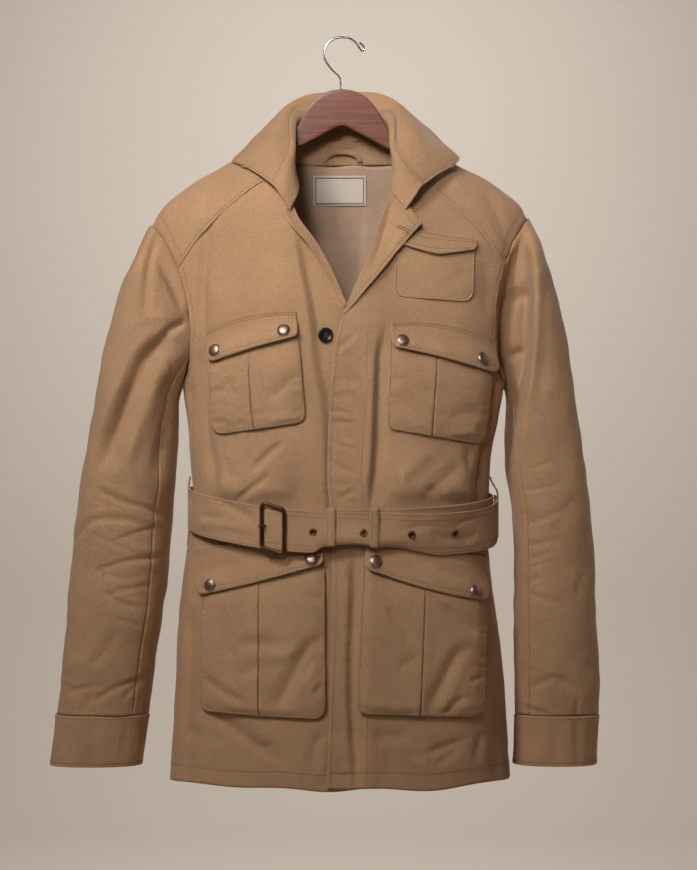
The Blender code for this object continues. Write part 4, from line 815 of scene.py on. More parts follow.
def yoke_drawn(s, t):
    """Puckers along the armholes and the front seams."""
    push = np.zeros_like(s)
    for seed, off in ((2, s * 370), (3, (1 - s) * 370)):
        push = push + gathers(t * 180, off, 180, seed, 8.0, 9.0, 1.0)
        sink = YOKE_EDGE_SINK + YOKE_TIP_SINK * np.exp(-((t - YOKE_TIP) / 0.08) ** 2)
        push = push + sink * np.exp(-(off / 6.0) ** 2)
    return push + gathers(s * 500, t * 190, 500, 4, 12.0, 8.0, 0.7)


yoke_surface = creased(yoke_base, UP, YOKE_CREASES, YOKE_BACK_CREASES, seed=5, drawn=yoke_drawn)
columns = np.concatenate([np.linspace(0, YOKE_NECK, 56)[:-1], np.linspace(YOKE_NECK, YOKE_LEFT, 42)[:-1],
                          np.linspace(YOKE_LEFT, YOKE_RUN, 56)]) / YOKE_RUN
cloth("yoke", yoke_surface, columns, packed(190, 3.8), UP, CLOTH_WALL, twill)
lines = [sew_across(yoke_surface, 0.026, UP, 0.004, 10.9 / YOKE_RUN, 120),
         sew_across(yoke_surface, 0.026, UP, 23.1 / YOKE_RUN, 0.996, 120),
         sew_across(yoke_surface, 0.97, UP, 0.0, 1.0, 300)]
lines += [sew_up(yoke_surface, place, UP, 0.03, 0.97, 120) for place in (0.018, 0.982)]
thread("yoke_stitch", lines)


# Fronts: two long panels of twill. The left laps over the right below the break; above it both turn out
# along the roll. The right sinks in a long fold beside the opening, and both crowd at the belt.

SIDE_NAME = {RIGHT: "right", LEFT: "left"}
# level, right and left inner edge
FRONT_EDGE = (
    (-912, 22, -18), (-800, 22, -14.5), (-690, 22, -11), (-590, 22, -13), (-540, 22, -17.5),
    (-444, 22, -14), (-384, 22, -8), (-360, 20, -3.5), (-338, 7, 3.8), (-287, -14.5, 26.5),
    (-230, -50, 46), (-204, -61, 57), (-190, -62.5, 61.5), (-168, -66, 66),
)
OVERLAP_LIFT, OVERLAP_INNER, OVERLAP_OUTER = 4.0, 28.0, 62.0
# The fronts blouse over the belt
BLOUSE_DEEP, BLOUSE_LEVEL, BLOUSE_ABOVE, BLOUSE_BELOW = 8.0, -553.0, 40.0, 15.0
# level, x where the right front drops to its underlap, how far it drops
DROP = ((-640, -18, 0), (-560, -20, 5), (-460, -24, 6), (-400, -33, 7), (-340, -40, 9), (-280, -52, 8),
        (-240, -58, 3), (-205, -62, 0))
FRONT_CREASES = {
    RIGHT: (
        (24, 0, 6, (16, -380), (14, -600), (14, -1000)),
        (9, -.2, 6, (-148, -214), (-163, -255), (-168, -300), (-168, -350), (-165, -382)),
        (8, 0, 7, (-163, -348), (-167, -440), (-164, -500), (-155, -540), (-150, -590)),
        (4, 0, 3.4, (-187, -402), (-183, -450), (-182, -500), (-178, -570)),
        (3.5, 0, 2.4, (-192, -441), (-182, -434), (-172, -428)),
        (3.5, .2, 2.4, (-176, -466), (-172, -510), (-172, -570)),
        (13, 0, 2.2, (-98, -215), (-98, -260), (-92, -350)),
        (5, .3, 3.6, (-68, -495), (-92, -514), (-112, -536)),
        (4.5, .2, 3.6, (-84, -533), (-104, -549), (-130, -569)),
        (9, 0, 2.2, (-150, -515), (-128, -548)), (11, 0, 6, (-184, -660), (-188, -780), (-190, -940)),
        (8, .3, 5.5, (-164, -822), (-134, -838), (-110, -856), (-84, -872), (-60, -888)),
        (5, 0, 2, (-98, -860), (-74, -858)),
        (8, 0, 2.4, (-194, -845), (-162, -853)), (7, 0, 3, (-22, -838), (-34, -868), (-30, -894)),
        (7, 0, 3.6, (-182, -618), (-176, -700)), (6, 0, 3, (-200, -612), (-186, -640)),
    ),
    LEFT: (
        (8, .3, 6, (54, -345), (46, -400), (43, -450), (42, -500), (38, -560), (33, -606)),
        (6, 0, -2.4, (40, -380), (37, -450), (34, -510), (28, -570)),
        (9, 0, 8, (188, -392), (181, -480), (172, -545), (169, -604)),
        (4, 0, 3, (175, -464), (169, -578)), (11, 0, 2.6, (174, -270), (178, -350)),
        (3.5, 0, 2.4, (-10, -388), (6, -378), (20, -367)), (4, 0, 1.6, (-12, -425), (6, -421), (22, -427)),
        (4, 0, 1.6, (-16, -447), (4, -442), (20, -448)), (3.5, 0, 2.2, (-20, -464), (-2, -461), (16, -467)),
        (3.5, 0, 1.8, (-20, -479), (0, -474), (18, -481)), (3.5, 0, 2.4, (-20, -495), (2, -503), (22, -513)),
        (4, 0, 1.8, (-22, -519), (0, -528), (16, -537)), (3.5, 0, 2.2, (-6, -567), (6, -560), (18, -552)),
        (8, 0, 3, (148, -496), (158, -530), (165, -568)), (9, 0, 2.8, (92, -568), (120, -546), (148, -520)),
        (9, 0, -2.2, (64, -545), (112, -506)), (4, 0, 2, (102, -550), (118, -562), (128, -574)),
        (8, .35, 6.5, (14, -600), (14, -690), (11, -770), (14, -850), (20, -940)),
        (11, 0, 6, (184, -680), (187, -790), (190, -940)),
        (6, 0, 3.2, (97, -869), (124, -862), (153, -852)), (6, 0, 2.4, (110, -886), (128, -872), (148, -864)),
        (5, 0, 2, (76, -867), (100, -875)), (9, 0, 2.6, (36, -845), (84, -851)),
        (6, 0, 2.2, (171, -842), (159, -884)),
    ),
}


def front_drop(x, z):
    """How far the right front sinks beside the opening; it comes up again to the lapel."""
    off = x - read_table(DROP, z, 1)
    rise = soft_step(off, 14.0, 34.0) * soft_step(z, -378.0, -330.0)
    return read_table(DROP, z, 2) * soft_step(off, -2.0, 9.0) * (1 - rise)


def front_y(side, x, z):
    """The fronts' surface without creases; the left front is lifted where it laps over."""
    lift = OVERLAP_LIFT * (1 - soft_step(x, OVERLAP_INNER, OVERLAP_OUTER)) if side == LEFT else 0.0
    return -depth(FRONT, x, z) - lift


def front_base(side):
    def edge_spot(z):
        x = read_table(FRONT_EDGE, z, 1 if side == RIGHT else 2)
        return girth_spot(x, z)

    def seam(s):
        x, z = front_seam(side, s)
        return girth_spot(x, z)

    def armhole(t):
        point = armhole_point(side, blend(180.0, FRONT_SEAM_ANGLE, t))
        return girth_spot(point[..., 0], point[..., 2])

    def level_line(s, z):
        inner = edge_spot(z)[..., 0]
        return np.stack([blend(inner, side, s), z], -1)

    def surface(s, t):
        low = level_line(s, blend(HEM, ARMPIT, np.minimum(t / LOWER_SHARE, 1.0)))
        up = upper_share(t) * PANEL_TOP
        high = coons(lambda u: level_line(u, np.full_like(u, ARMPIT)), seam,
                     lambda u: edge_spot(blend(ARMPIT, NECK_FRONT, u)), armhole, s, up)
        spot = np.where((t <= LOWER_SHARE)[..., None], low, high)
        x, z = x_at_girth(spot[..., 0], spot[..., 1]), spot[..., 1]
        y = front_y(side, x, z) + TUCK * soft_step(up, TUCK_FROM, TUCK_TO)
        if side == RIGHT:
            y = y + front_drop(x, z)
        blouse = soft_step(np.abs(x), 45.0, 75.0) * (1 - soft_step(np.abs(x), 145.0, 178.0))
        reach = np.where(z > BLOUSE_LEVEL, BLOUSE_ABOVE, BLOUSE_BELOW)
        y = y - BLOUSE_DEEP * blouse * np.exp(-((z - BLOUSE_LEVEL) / reach) ** 2)
        z = z + hem_wave(x + 60.0 * side) * (1 - soft_step(t, 0.0, HEM_FADE))
        return np.stack([x, y, z], -1)
    return surface


HEM_STITCH = 0.029
lines = []
for side in (RIGHT, LEFT):
    def drawn(s, t, side=side):
        """Puckers along the armhole seam, the hem and, on the left, the stitched placket."""
        up = upper_share(t)
        push = gathers(up * 210, (1 - s) * 190, 210, 11 + side, 8.0, 9.0, 1.1) * soft_step(up, 0.05, 0.2)
        push = push + gathers(s * 240, np.abs(t - HEM_STITCH) * 700, 240, 14 + side, 9.0, 9.0, 0.6)
        if side == LEFT:
            push = push + gathers(t * 700, np.abs(s - 0.07) * 230, 600, 17, 20.0, 11.0, 1.2)
        return push

    surface = creased(front_base(side), AHEAD, FRONT_CREASES[side], seed=10 + side, drawn=drawn)
    columns = np.concatenate([(0.0, 0.004), np.linspace(0.01, 0.99, 92), (1.0,)])
    cloth("front_" + SIDE_NAME[side], surface, columns, np.linspace(0, 1, 220), AHEAD, CLOTH_WALL, twill)
    lines.append(sew_across(surface, HEM_STITCH, AHEAD, 0.01, 0.995, 200))
    lines.append(sew_up(surface, 0.963, AHEAD, 0.735, 0.99, 160))
    if side == LEFT:
        lines += [sew_up(surface, inset, AHEAD, 0.004, 0.8, 400) for inset in (0.015, 0.15)]
thread("front_stitch", lines)


# Lapels: the turned-out facings of the fronts. The right is a narrow roll; the left lies open as a wide
# point with a worked buttonhole, stitched close to its edge.

# share, edge x and z, roll x and z
LAPELS = {
    RIGHT: ((0.0, 2.0, -336, 6.0, -333), (0.3, -16, -304, -12, -291), (0.6, -39, -264, -31, -257),
            (0.85, -66, -231, -51.5, -228), (1.0, -69, -214, -61.5, -205)),
    LEFT: ((0.0, 1.0, -347, 4.5, -337), (0.25, 22, -324, 17, -307), (0.5, 52, -286, 29, -280),
           (0.75, 76, -258, 47, -228), (1.0, 93.5, -237.5, 62.5, -191)),
}
LAPEL_LIFT_ROLL, LAPEL_LIFT_EDGE, LAPEL_LIFT_RUN = 0.5, 9.0, 0.8
LAPEL_CREASES = {
    RIGHT: ((4, 0, 1.2, (-20, -300), (-30, -270)), (3, 0, 1.0, (-45, -252), (-60, -232))),
    LEFT: ((5, 0, 1.8, (62, -198), (52, -240), (40, -278), (30, -304)),
           (6, 0, -1.2, (58, -270), (72, -248), (84, -236)),
           (4, 0, 1.0, (66, -262), (56, -284))),
}


def on_front(side, x, z, lift):
    """Points lifted off the smooth front along its normal."""
    step = 2.0
    slope_x = (front_y(side, x + step, z) - front_y(side, x - step, z)) / (2 * step)
    slope_z = (front_y(side, x, z + step) - front_y(side, x, z - step)) / (2 * step)
    out = np.stack([slope_x, -np.ones_like(slope_x), slope_z], -1)
    out /= np.linalg.norm(out, axis=-1, keepdims=True)
    return np.stack([x, front_y(side, x, z), z], -1) + out * np.asarray(lift)[..., None]


def lapel_base(side):
    def surface(s, t):
        edge_x, edge_z, roll_x, roll_z = (read_table(LAPELS[side], t, k) for k in (1, 2, 3, 4))
        lift = blend(LAPEL_LIFT_ROLL, LAPEL_LIFT_EDGE, soft_step(s * t, 0.0, LAPEL_LIFT_RUN))
        return on_front(side, blend(roll_x, edge_x, s), blend(roll_z, edge_z, s), lift)
    return surface


lines, worked = [], []
for side, wide, cut in ((RIGHT, 12, 1780), (LEFT, 45, 4200)):
    surface = creased(lapel_base(side), AHEAD, LAPEL_CREASES[side], seed=41, deep=0.4)
    cloth("lapel_" + SIDE_NAME[side], surface, np.linspace(0, 1, 8 if side == RIGHT else 26),
          np.linspace(0, 1, 70), AHEAD, CLOTH_WALL, twill,
          inward=False, rim=0.5)
    if side == LEFT:
        t = np.linspace(0.06, 0.94, 120)
        width = np.interp(t, (0.0, 0.5, 1.0), (8.0, 24.0, 56.0))
        lines.append(sew_line(surface, 1 - 4.5 / np.maximum(width, 9.0), t, AHEAD, CLOTH_WALL))
        lines.append(sew_across(surface, 0.925, AHEAD, 0.1, 0.92, 60, CLOTH_WALL))
        share = np.linspace(0, 1, 18)
        slit, out = sew_line(surface, blend(0.55, 0.9, share), blend(0.79, 0.825, share), AHEAD, CLOTH_WALL)
        beside = np.cross(slit[-1] - slit[0], out[9])
        beside /= np.linalg.norm(beside)
        for way in (-1, 1):
            worked += [(np.array([p + beside * way * 0.4, p + beside * way * 2.3]), np.array([o, o]))
                       for p, o in zip(slit, out)]
thread("buttonhole_stitch", worked, 1.9, 1.9)
thread("lapel_stitch", lines)


# Collar: a stand and a fall of twill. The stand wraps the neck; the fall rolls over it, covers the neck
# seam behind and spreads on the shoulders, and is stitched a little inside its edge.

# From the middle of the back to the front end of the left half: neck seam, stand, stand seam, fall, edge
COLLAR = np.array((
    ((0, 29.5, -123.3), (0, 30.5, -108), (0, 32, -92), (0, 42, -62), (0, 54, -140)),
    ((35, 22.2, -117), (36, 26, -106), (37, 28, -90), (46, 35, -63), (72, 50, -110)),
    ((60.4, 3, -110.2), (56.5, 4, -101), (63, 7, -93), (78, 15, -84), (102, 28, -104)),
    ((62.4, -43, -154), (60.5, -46, -146), (65, -46, -139), (91, -30, -122), (128, 4, -130)),
    ((62.5, -67, -189), (70, -72, -180), (79, -69, -167), (107, -48, -149), (143.5, -12, -146)),
    ((80, -79, -214), (89, -78, -201), (98, -72, -188), (121, -50, -170), (144, -24, -155)),
), float)
COLLAR_SEAM, COLLAR_SEAM_LAP, COLLAR_EDGE = 2.0, 0.05, 4.0
COLLAR_DRAW_IN, COLLAR_SAG, COLLAR_TUCK = 15.0, 8.0, 0.35
COLLAR_ROUND, COLLAR_ROUND_DEPTH = 0.14, 0.29
COLLAR_CREASES = (
    (8, 0, 2.0, (-58, -76), (-52, -104), (-46, -132)), (6, 0, 1.6, (40, -84), (50, -98), (62, -112)),
    (4, 0, 1.4, (78, -162), (90, -154), (102, -147)), (10, 0, 1.4, (104, -108), (112, -136)),
    (9, 0, 1.6, (-72, -108), (-68, -136), (-64, -160)), (10, 0, 1.2, (-110, -110), (-118, -140)),
)


def collar_point(along, station):
    """Points of the collar: along -1 at the right front end to 1 at the left, station from neck to edge. The
    leaf is rounded at the middle of the back, where its two halves meet."""
    far = np.abs(along)
    round_back = np.where(far < 0.2, 0.1 + 2.5 * far * far, far)
    keys, stations = np.arange(len(COLLAR)), np.arange(COLLAR.shape[1])
    columns = np.stack([np.stack([hermite(keys, COLLAR[:, j, k], keys[-1] * (round_back if j > 2 and k else far))
                                  for k in range(3)], -1) for j in stations])
    point = hermite(stations, columns, station)
    right = along < 0
    point[:, 0] -= np.where(right, COLLAR_DRAW_IN * far ** 3, 0.0)
    sag = COLLAR_SAG * 4 * far * (1 - far) * np.maximum(0.0, station - COLLAR_SEAM) / COLLAR_SEAM
    point[:, 2] -= np.where(right, sag, 0.0)
    point[:, 0] *= np.where(right, -1.0, 1.0)
    return point


def stand_base(s, t):
    along, station = blend(-1.0, 1.0, s), blend(-COLLAR_TUCK, COLLAR_SEAM + COLLAR_SEAM_LAP, t)
    foot, above = collar_point(along, np.zeros_like(s)), collar_point(along, np.full_like(s, 0.3))
    below = np.minimum(station, 0.0)[..., None] / 0.3
    return collar_point(along, np.maximum(station, 0.0)) + (above - foot) * below


def fall_base(s, t):
    along = blend(-1.0, 1.0, s)
    past = np.clip((np.abs(along) - 1 + COLLAR_ROUND) / COLLAR_ROUND, 0.0, 1.0)
    reach = COLLAR_EDGE - COLLAR_ROUND_DEPTH * (1 - np.sqrt(1 - past ** 2))
    return collar_point(along, blend(COLLAR_SEAM - COLLAR_SEAM_LAP, reach, t))


COLLAR_STITCH = 6.5


def fall_depth(s):
    """Length of the fall at its edge for each whole share."""
    return np.linalg.norm(fall_base(s, np.ones_like(s)) - fall_base(s, np.full_like(s, 0.85)), axis=-1) / 0.15


def fall_drawn(s, t):
    """The topstitching sinks into the leaf, which puckers along it."""
    off = (1 - t) * fall_depth(s)
    return (0.5 * np.exp(-((off - COLLAR_STITCH) / 1.1) ** 2) + 0.6 * np.clip(1 - off / 1.4, 0.0, 1.0) ** 2
            + gathers(s * 430, off - COLLAR_STITCH, 430, 23, 9.0, 6.0, 0.4))


stand_surface = creased(stand_base, BEHIND, deep=0.3)
fall_surface = creased(fall_base, UP, COLLAR_CREASES, seed=21, deep=0.3, drawn=fall_drawn)
cloth("collar_stand", stand_surface, np.linspace(0, 1, 150), np.linspace(0, 1, 14), BEHIND, CLOTH_WALL,
      twill)
rows = np.concatenate([np.linspace(0, 0.86, 24), np.linspace(0.87, 1, 14)])
cloth("collar_fall", fall_surface, packed(430, 2.5), rows, UP, FOLDED_WALL, twill)
s = np.linspace(0.016, 0.984, 500)
lines = [sew_line(fall_surface, s, 1 - COLLAR_STITCH / fall_depth(s), UP)]
lines += [sew_up(fall_surface, place, UP, 0.06, 0.9, 60) for place in (0.016, 0.984)]
lines += [sew_across(fall_surface, t, UP, 0.01, 0.99, 300) for t in (0.03, 0.1)]
thread("collar_stitch", lines)


# Sleeves: two pieces each, a wide top and a narrow under sleeve, seamed down the front and the back arm
# and set into the armhole. They hang empty, so they break in folds from the armhole and at the elbow.

# Angles of the front and the back seam round the arm
ARM_FRONT, ARM_BACK = 134.0, -120.0
SLEEVE_TUCK, SLEEVE_SEAM_GAP = 5.0, 0.3
# How far the tucked edge sinks inside the armhole, and how much more round the head of the sleeve
SLEEVE_SINK, HEAD_SINK, HEAD_SPAN = 2.4, 5.0, 30.0
# The left sleeve sinks in behind its armhole seam as far as a sharp ridge: level, x of the ridge, depth
LEFT_RIDGE = ((-640, 204, 0), (-560, 209, 8), (-480, 219, 22), (-400, 231, 36), (-330, 234, 36),
              (-280, 233, 22), (-240, 231, 4), (-225, 230, 0))
SLEEVE_CREASES = {
    RIGHT: (
        (6, .2, 5.5, (-222, -236), (-229, -258), (-234, -285), (-237, -318), (-240, -356)),
        (6, 0, 4.5, (-226, -266), (-213, -292), (-203, -311), (-190, -346)),
        (7, 0, -2.4, (-250, -352), (-222, -346), (-192, -342)),
        (5, 0, 7, (-182, -349), (-204, -360), (-218, -373), (-236, -394)),
        (13, .25, 11, (-196, -352), (-238, -398), (-256, -438), (-270, -472), (-284, -505), (-300, -548)),
        (9, 0, -4, (-256, -402), (-282, -458), (-300, -505), (-316, -556)),
        (9, 0, -3.4, (-208, -388), (-230, -436), (-246, -480), (-264, -548)),
        (11, 0, 5, (-196, -398), (-211, -465), (-219, -505), (-226, -560)),
        (3, 0, 2.2, (-210, -397), (-202, -416)),
        (5.1, 0, -1.7, (-296, -547), (-274, -555), (-250, -567)),
        (3.4, .3, 3, (-302, -553), (-276, -566), (-258, -573), (-238, -578), (-208, -592)),
        (5.1, .2, 3.5, (-344, -640), (-322, -612), (-308, -597), (-290, -591), (-262, -592), (-232, -598)),
        (5.1, 0, -1.6, (-256, -585), (-236, -592), (-212, -599)),
        (3.4, 0, 2, (-286, -620), (-262, -612), (-246, -607), (-216, -599)),
        (3, 0, 1.7, (-306, -604), (-284, -618), (-264, -626), (-246, -634)),
        (5.1, 0, -1.3, (-262, -621), (-246, -627), (-226, -628)),
        (3.4, 0, 2.5, (-304, -655), (-275, -646), (-256, -641), (-236, -639), (-208, -634)),
        (5.1, 0, -1.4, (-254, -648), (-232, -648), (-210, -646)),
        (3.4, 0, 1.2, (-304, -655), (-270, -662), (-232, -660)),
        (3.4, 0, 1.7, (-292, -686), (-266, -677), (-248, -674), (-224, -670)),
        (4.2, 0, -1.2, (-280, -682), (-256, -690), (-226, -690)),
        (3.4, 0, 1.8, (-296, -676), (-274, -688), (-258, -696), (-242, -702)),
        (4.2, 0, 1.4, (-294, -642), (-291, -668), (-287, -696)),
        (3.4, 0, 1.4, (-280, -710), (-258, -717), (-236, -726)),
        (7.6, 0, 1.4, (-328, -766), (-308, -732), (-294, -700)),
        (6.8, 0, 1.7, (-306, -774), (-286, -748), (-268, -722)),
        (4.2, .2, 2.2, (-306, -816), (-276, -798), (-254, -790), (-226, -772)),
        (3.4, 0, 1.7, (-272, -816), (-254, -797), (-226, -780)),
        (3.8, 0, 1.5, (-340, -804), (-312, -796), (-280, -792)),
        (2.5, 0, -1, (-348, -786), (-326, -792), (-304, -788)), (6, 0, 1.4, (-322, -832), (-302, -802)),
    ),
    LEFT: (
        (9, 0, 5, (240, -322), (216, -320), (192, -327)), (5, 0, 6, (230, -383), (212, -390), (192, -393)),
        (7, 0, -2.5, (234, -250), (236, -300), (236, -350), (233, -400), (227, -450), (221, -500), (212, -570)),
        (3.5, 0, 1.8, (222, -532), (240, -526), (258, -520)),
        (3.4, 0, 1.6, (218, -558), (242, -553), (270, -548)),
        (3, 0, 1.4, (205, -590), (218, -586), (233, -581)),
        (5.1, .2, 1.8, (214, -600), (240, -592), (274, -577)),
        (3, 0, 1.7, (208, -621), (220, -630), (233, -636)),
        (3.8, 0, 1.5, (220, -625), (246, -619), (274, -611)),
        (3.4, 0, 1.4, (218, -643), (238, -636), (260, -628)),
        (3, 0, 1.6, (208, -652), (234, -648), (262, -637)),
        (4.2, 0, 1.6, (226, -680), (250, -690), (272, -700)),
        (3, 0, 1.4, (207, -673), (226, -668), (246, -660)),
        (3.4, 0, -1.2, (219, -735), (232, -745), (249, -755)),
        (3.4, 0, -1.4, (213, -760), (230, -768), (249, -777)),
        (5.1, 0, 2.4, (224, -801), (246, -788), (262, -785), (294, -804)),
        (3.4, 0, -1.4, (215, -812), (232, -817), (253, -822)),
        (3.4, 0, 1.7, (218, -821), (236, -826), (260, -830)),
        (8.5, 0, 1.4, (284, -556), (262, -598), (246, -616)), (7.6, 0, 1.6, (302, -640), (282, -690)),
        (12, 0, 1.2, (262, -330), (270, -400), (266, -470)), (4.2, 0, 1.4, (286, -806), (287, -842)),
        (6.8, 0, 1.4, (298, -762), (272, -742)),
    ),
}
SLEEVE_BACK_CREASES = {
    RIGHT: (
        (11, 0, 6, (-200, -360), (-232, -410), (-264, -480)),
        (6, 0, 4, (-300, -572), (-262, -560), (-222, -566)),
        (5, 0, 3.4, (-312, -594), (-270, -604), (-226, -598)),
        (6, 0, 4.4, (-304, -652), (-266, -640), (-222, -648)),
        (6, 0, 3, (-296, -690), (-240, -678)), (8, 0, 3.2, (-336, -770), (-290, -742)),
        (7, 0, 3.2, (-326, -806), (-264, -782)), (8, 0, 4, (-236, -250), (-232, -310)),
    ),
    LEFT: (
        (11, 0, 6, (200, -370), (222, -420), (240, -490)), (6, 0, 4, (292, -566), (252, -556), (212, -570)),
        (5, 0, 3.2, (300, -600), (262, -592), (214, -604)), (6, 0, 4, (300, -646), (258, -654), (214, -642)),
        (6, 0, 2.8, (290, -700), (236, -684)), (8, 0, 3, (300, -772), (250, -748)),
        (7, 0, 3, (296, -812), (238, -790)), (8, 0, 4, (232, -246), (226, -312)),
    ),
}


def sleeve_base(side, first, last):
    rings = SLEEVE[side]
    reach = [0.0]
    for a, b in zip(rings, rings[1:]):
        reach.append(reach[-1] + math.hypot((a[0] + a[2] - b[0] - b[2]) / 2, (a[1] + a[3] - b[1] - b[3]) / 2))

    def surface(s, t):
        angle = blend(first, last, s)
        seat = armhole_point(side, angle)
        way = ring_point(rings[1], side, angle) - seat
        way /= np.linalg.norm(way, axis=-1, keepdims=True)
        middle = np.array([side * (rings[0][0] + rings[0][2]) / 2, 0.0, (rings[0][1] + rings[0][3]) / 2])
        inward = middle - seat
        inward /= np.linalg.norm(inward, axis=-1, keepdims=True)
        sunk = SLEEVE_SINK + HEAD_SINK * np.exp(-(angle / HEAD_SPAN) ** 2)[..., None]
        rows = [seat - way * SLEEVE_TUCK + inward * sunk, seat + way * 0.5 + inward * 0.5]
        rows = np.stack(rows + [ring_point(ring, side, angle) for ring in rings[1:]])
        point = hermite([-SLEEVE_TUCK] + reach, rows, blend(-SLEEVE_TUCK, reach[-1], t))
        if side == LEFT:
            beside = soft_step(read_table(LEFT_RIDGE, point[..., 2]) - point[..., 0], -1.0, 11.0)
            sink = read_table(LEFT_RIDGE, point[..., 2], 2) * beside * soft_step(t, 0.006, 0.026)
            point[..., 1] += sink * np.clip(-point[..., 1] / 30.0, 0.0, 1.0)
        return point
    return surface


for side in (RIGHT, LEFT):
    for part, first, last, wide, flat, way, rows in (
            ("_top", ARM_BACK, ARM_FRONT, 290, (290, 560), (side, 0, 0), 190),
            ("_under", ARM_FRONT + SLEEVE_SEAM_GAP, 360 + ARM_BACK - SLEEVE_SEAM_GAP, 95, (105, 420),
             (-side, 0, 0), 150)):

        def drawn(s, t, wide=wide, seed=50 + side):
            """Both long edges turn in at the seams, which pucker; the cuff gathers the lower end."""
            off = np.minimum(s, 1 - s) * wide
            push = 1.3 * np.clip(1 - off / 2.6, 0.0, 1.0) ** 1.5
            push = push + gathers(t * 600, off, 600, seed, 9.0, 6.0, 0.6)
            push = push + gathers(s * wide, (1 - t) * 560, wide, seed + 3, 13.0, 16.0, 0.8)
            return push + gathers(s * wide, t * 560, wide, seed + 5, 8.0, 11.0, 1.0)

        surface = creased(sleeve_base(side, first, last), way, SLEEVE_CREASES[side], SLEEVE_BACK_CREASES[side],
                          seed=60 + side, deep=0.7, drawn=drawn)
        cloth("sleeve_" + SIDE_NAME[side] + part, surface, packed(wide, 3.0), np.linspace(0, 1, rows), way,
              CLOTH_WALL, twill)


# Cuffs: bands of doubled twill folded round the sleeve ends, which go in under their drawn-in top
# edge. They are stitched along both edges and hang open and empty.

CUFF = {
    RIGHT: ((352.3, -831.3, 237.2, -831.3, 43, 29, 0), (356, -862, 241, -862, 41, 27, 0),
            (359.7, -894, 245.6, -894, 40, 26, 0)),
    LEFT: ((316.6, -831.3, 212.2, -831.3, 43, 29, 0), (315, -862, 211.5, -862, 41, 27, 0),
           (313.7, -893, 210.8, -893, 40, 26, 0)),
}
CUFF_CREASES = {
    RIGHT: ((8, 0, 1.6, (-300, -826), (-304, -900)), (5, 0, 1.2, (-262, -838), (-268, -886)),
            (6, 0, 1.0, (-338, -840), (-334, -884))),
    LEFT: ((6, .2, 2.2, (285, -826), (287, -898)), (5, 0, 1.2, (236, -838), (232, -884)),
           (7, 0, 1.2, (262, -842), (258, -892))),
}
CUFF_GIRTH, CUFF_TALL = 300, 63


def cuff_base(side):
    def surface(s, t):
        rows = np.stack([ring_point(ring, side, s * 360.0) for ring in CUFF[side]])
        return hermite((0.0, 0.5, 1.0), rows, t)
    return surface


lines = []
for side in (RIGHT, LEFT):
    surface = creased(cuff_base(side), (-side, 0, 0), CUFF_CREASES[side], CUFF_CREASES[side],
                      drawn=lambda s, t: 1.7 * np.clip(1 - CUFF_TALL * t / 4.0, 0.0, 1.0) ** 2)
    cloth("cuff_" + SIDE_NAME[side], surface, np.linspace(0, 1, 97)[:-1], packed(CUFF_TALL, 3.2), (-side, 0, 0),
          FOLDED_WALL, twill, ring=True, rim=0.6)
    lines += [sew_across(surface, t, (-side, 0, 0), 0.0, 1.0, 240) for t in (0.05, 0.93)]
thread("cuff_stitch", lines)


# Patch pockets: four bellows pockets with a centre pleat, puffed off the fronts and sewn down along their
# edges, and a small flat pocket on the left chest.

# name, side, left and right x at the top, then bottom, z at the top (left, right), then bottom, puff, pleat
POCKETS = (
    ("chest_pocket_right", RIGHT, -161, -52, -156, -42, -388, -362, -487, -475, 5.0, 0.45),
    ("chest_pocket_left", LEFT, 56.6, 183, 52, 172, -375, -399, -483, -498, 5.0, 0.455),
    ("hip_pocket_right", RIGHT, -168, -20, -169.5, -19, -662, -632, -820, -826, 6.5, 0.475),
    ("hip_pocket_left", LEFT, 25, 174, 16.5, 169, -637, -670, -820, -826, 6.5, 0.5),
    ("upper_pocket_left", LEFT, 63, 161.5, 62.5, 159, -257, -261, -325, -329, 0.0, 0.0),
)
LAY_GAP, POCKET_CORNER, POCKET_INSET, POCKET_WALL = 0.6, 13.0, 0.8, 1.0
POCKET_TOP_RUN, POCKET_TOP_SHARE = 40.0, 0.15
POCKET_STITCH_SIDE, POCKET_STITCH_FOOT = 1.8, 1.9
PLEAT_HALF, PLEAT_DEEP, PLEAT_REACH = 0.65, 3.4, 7.0
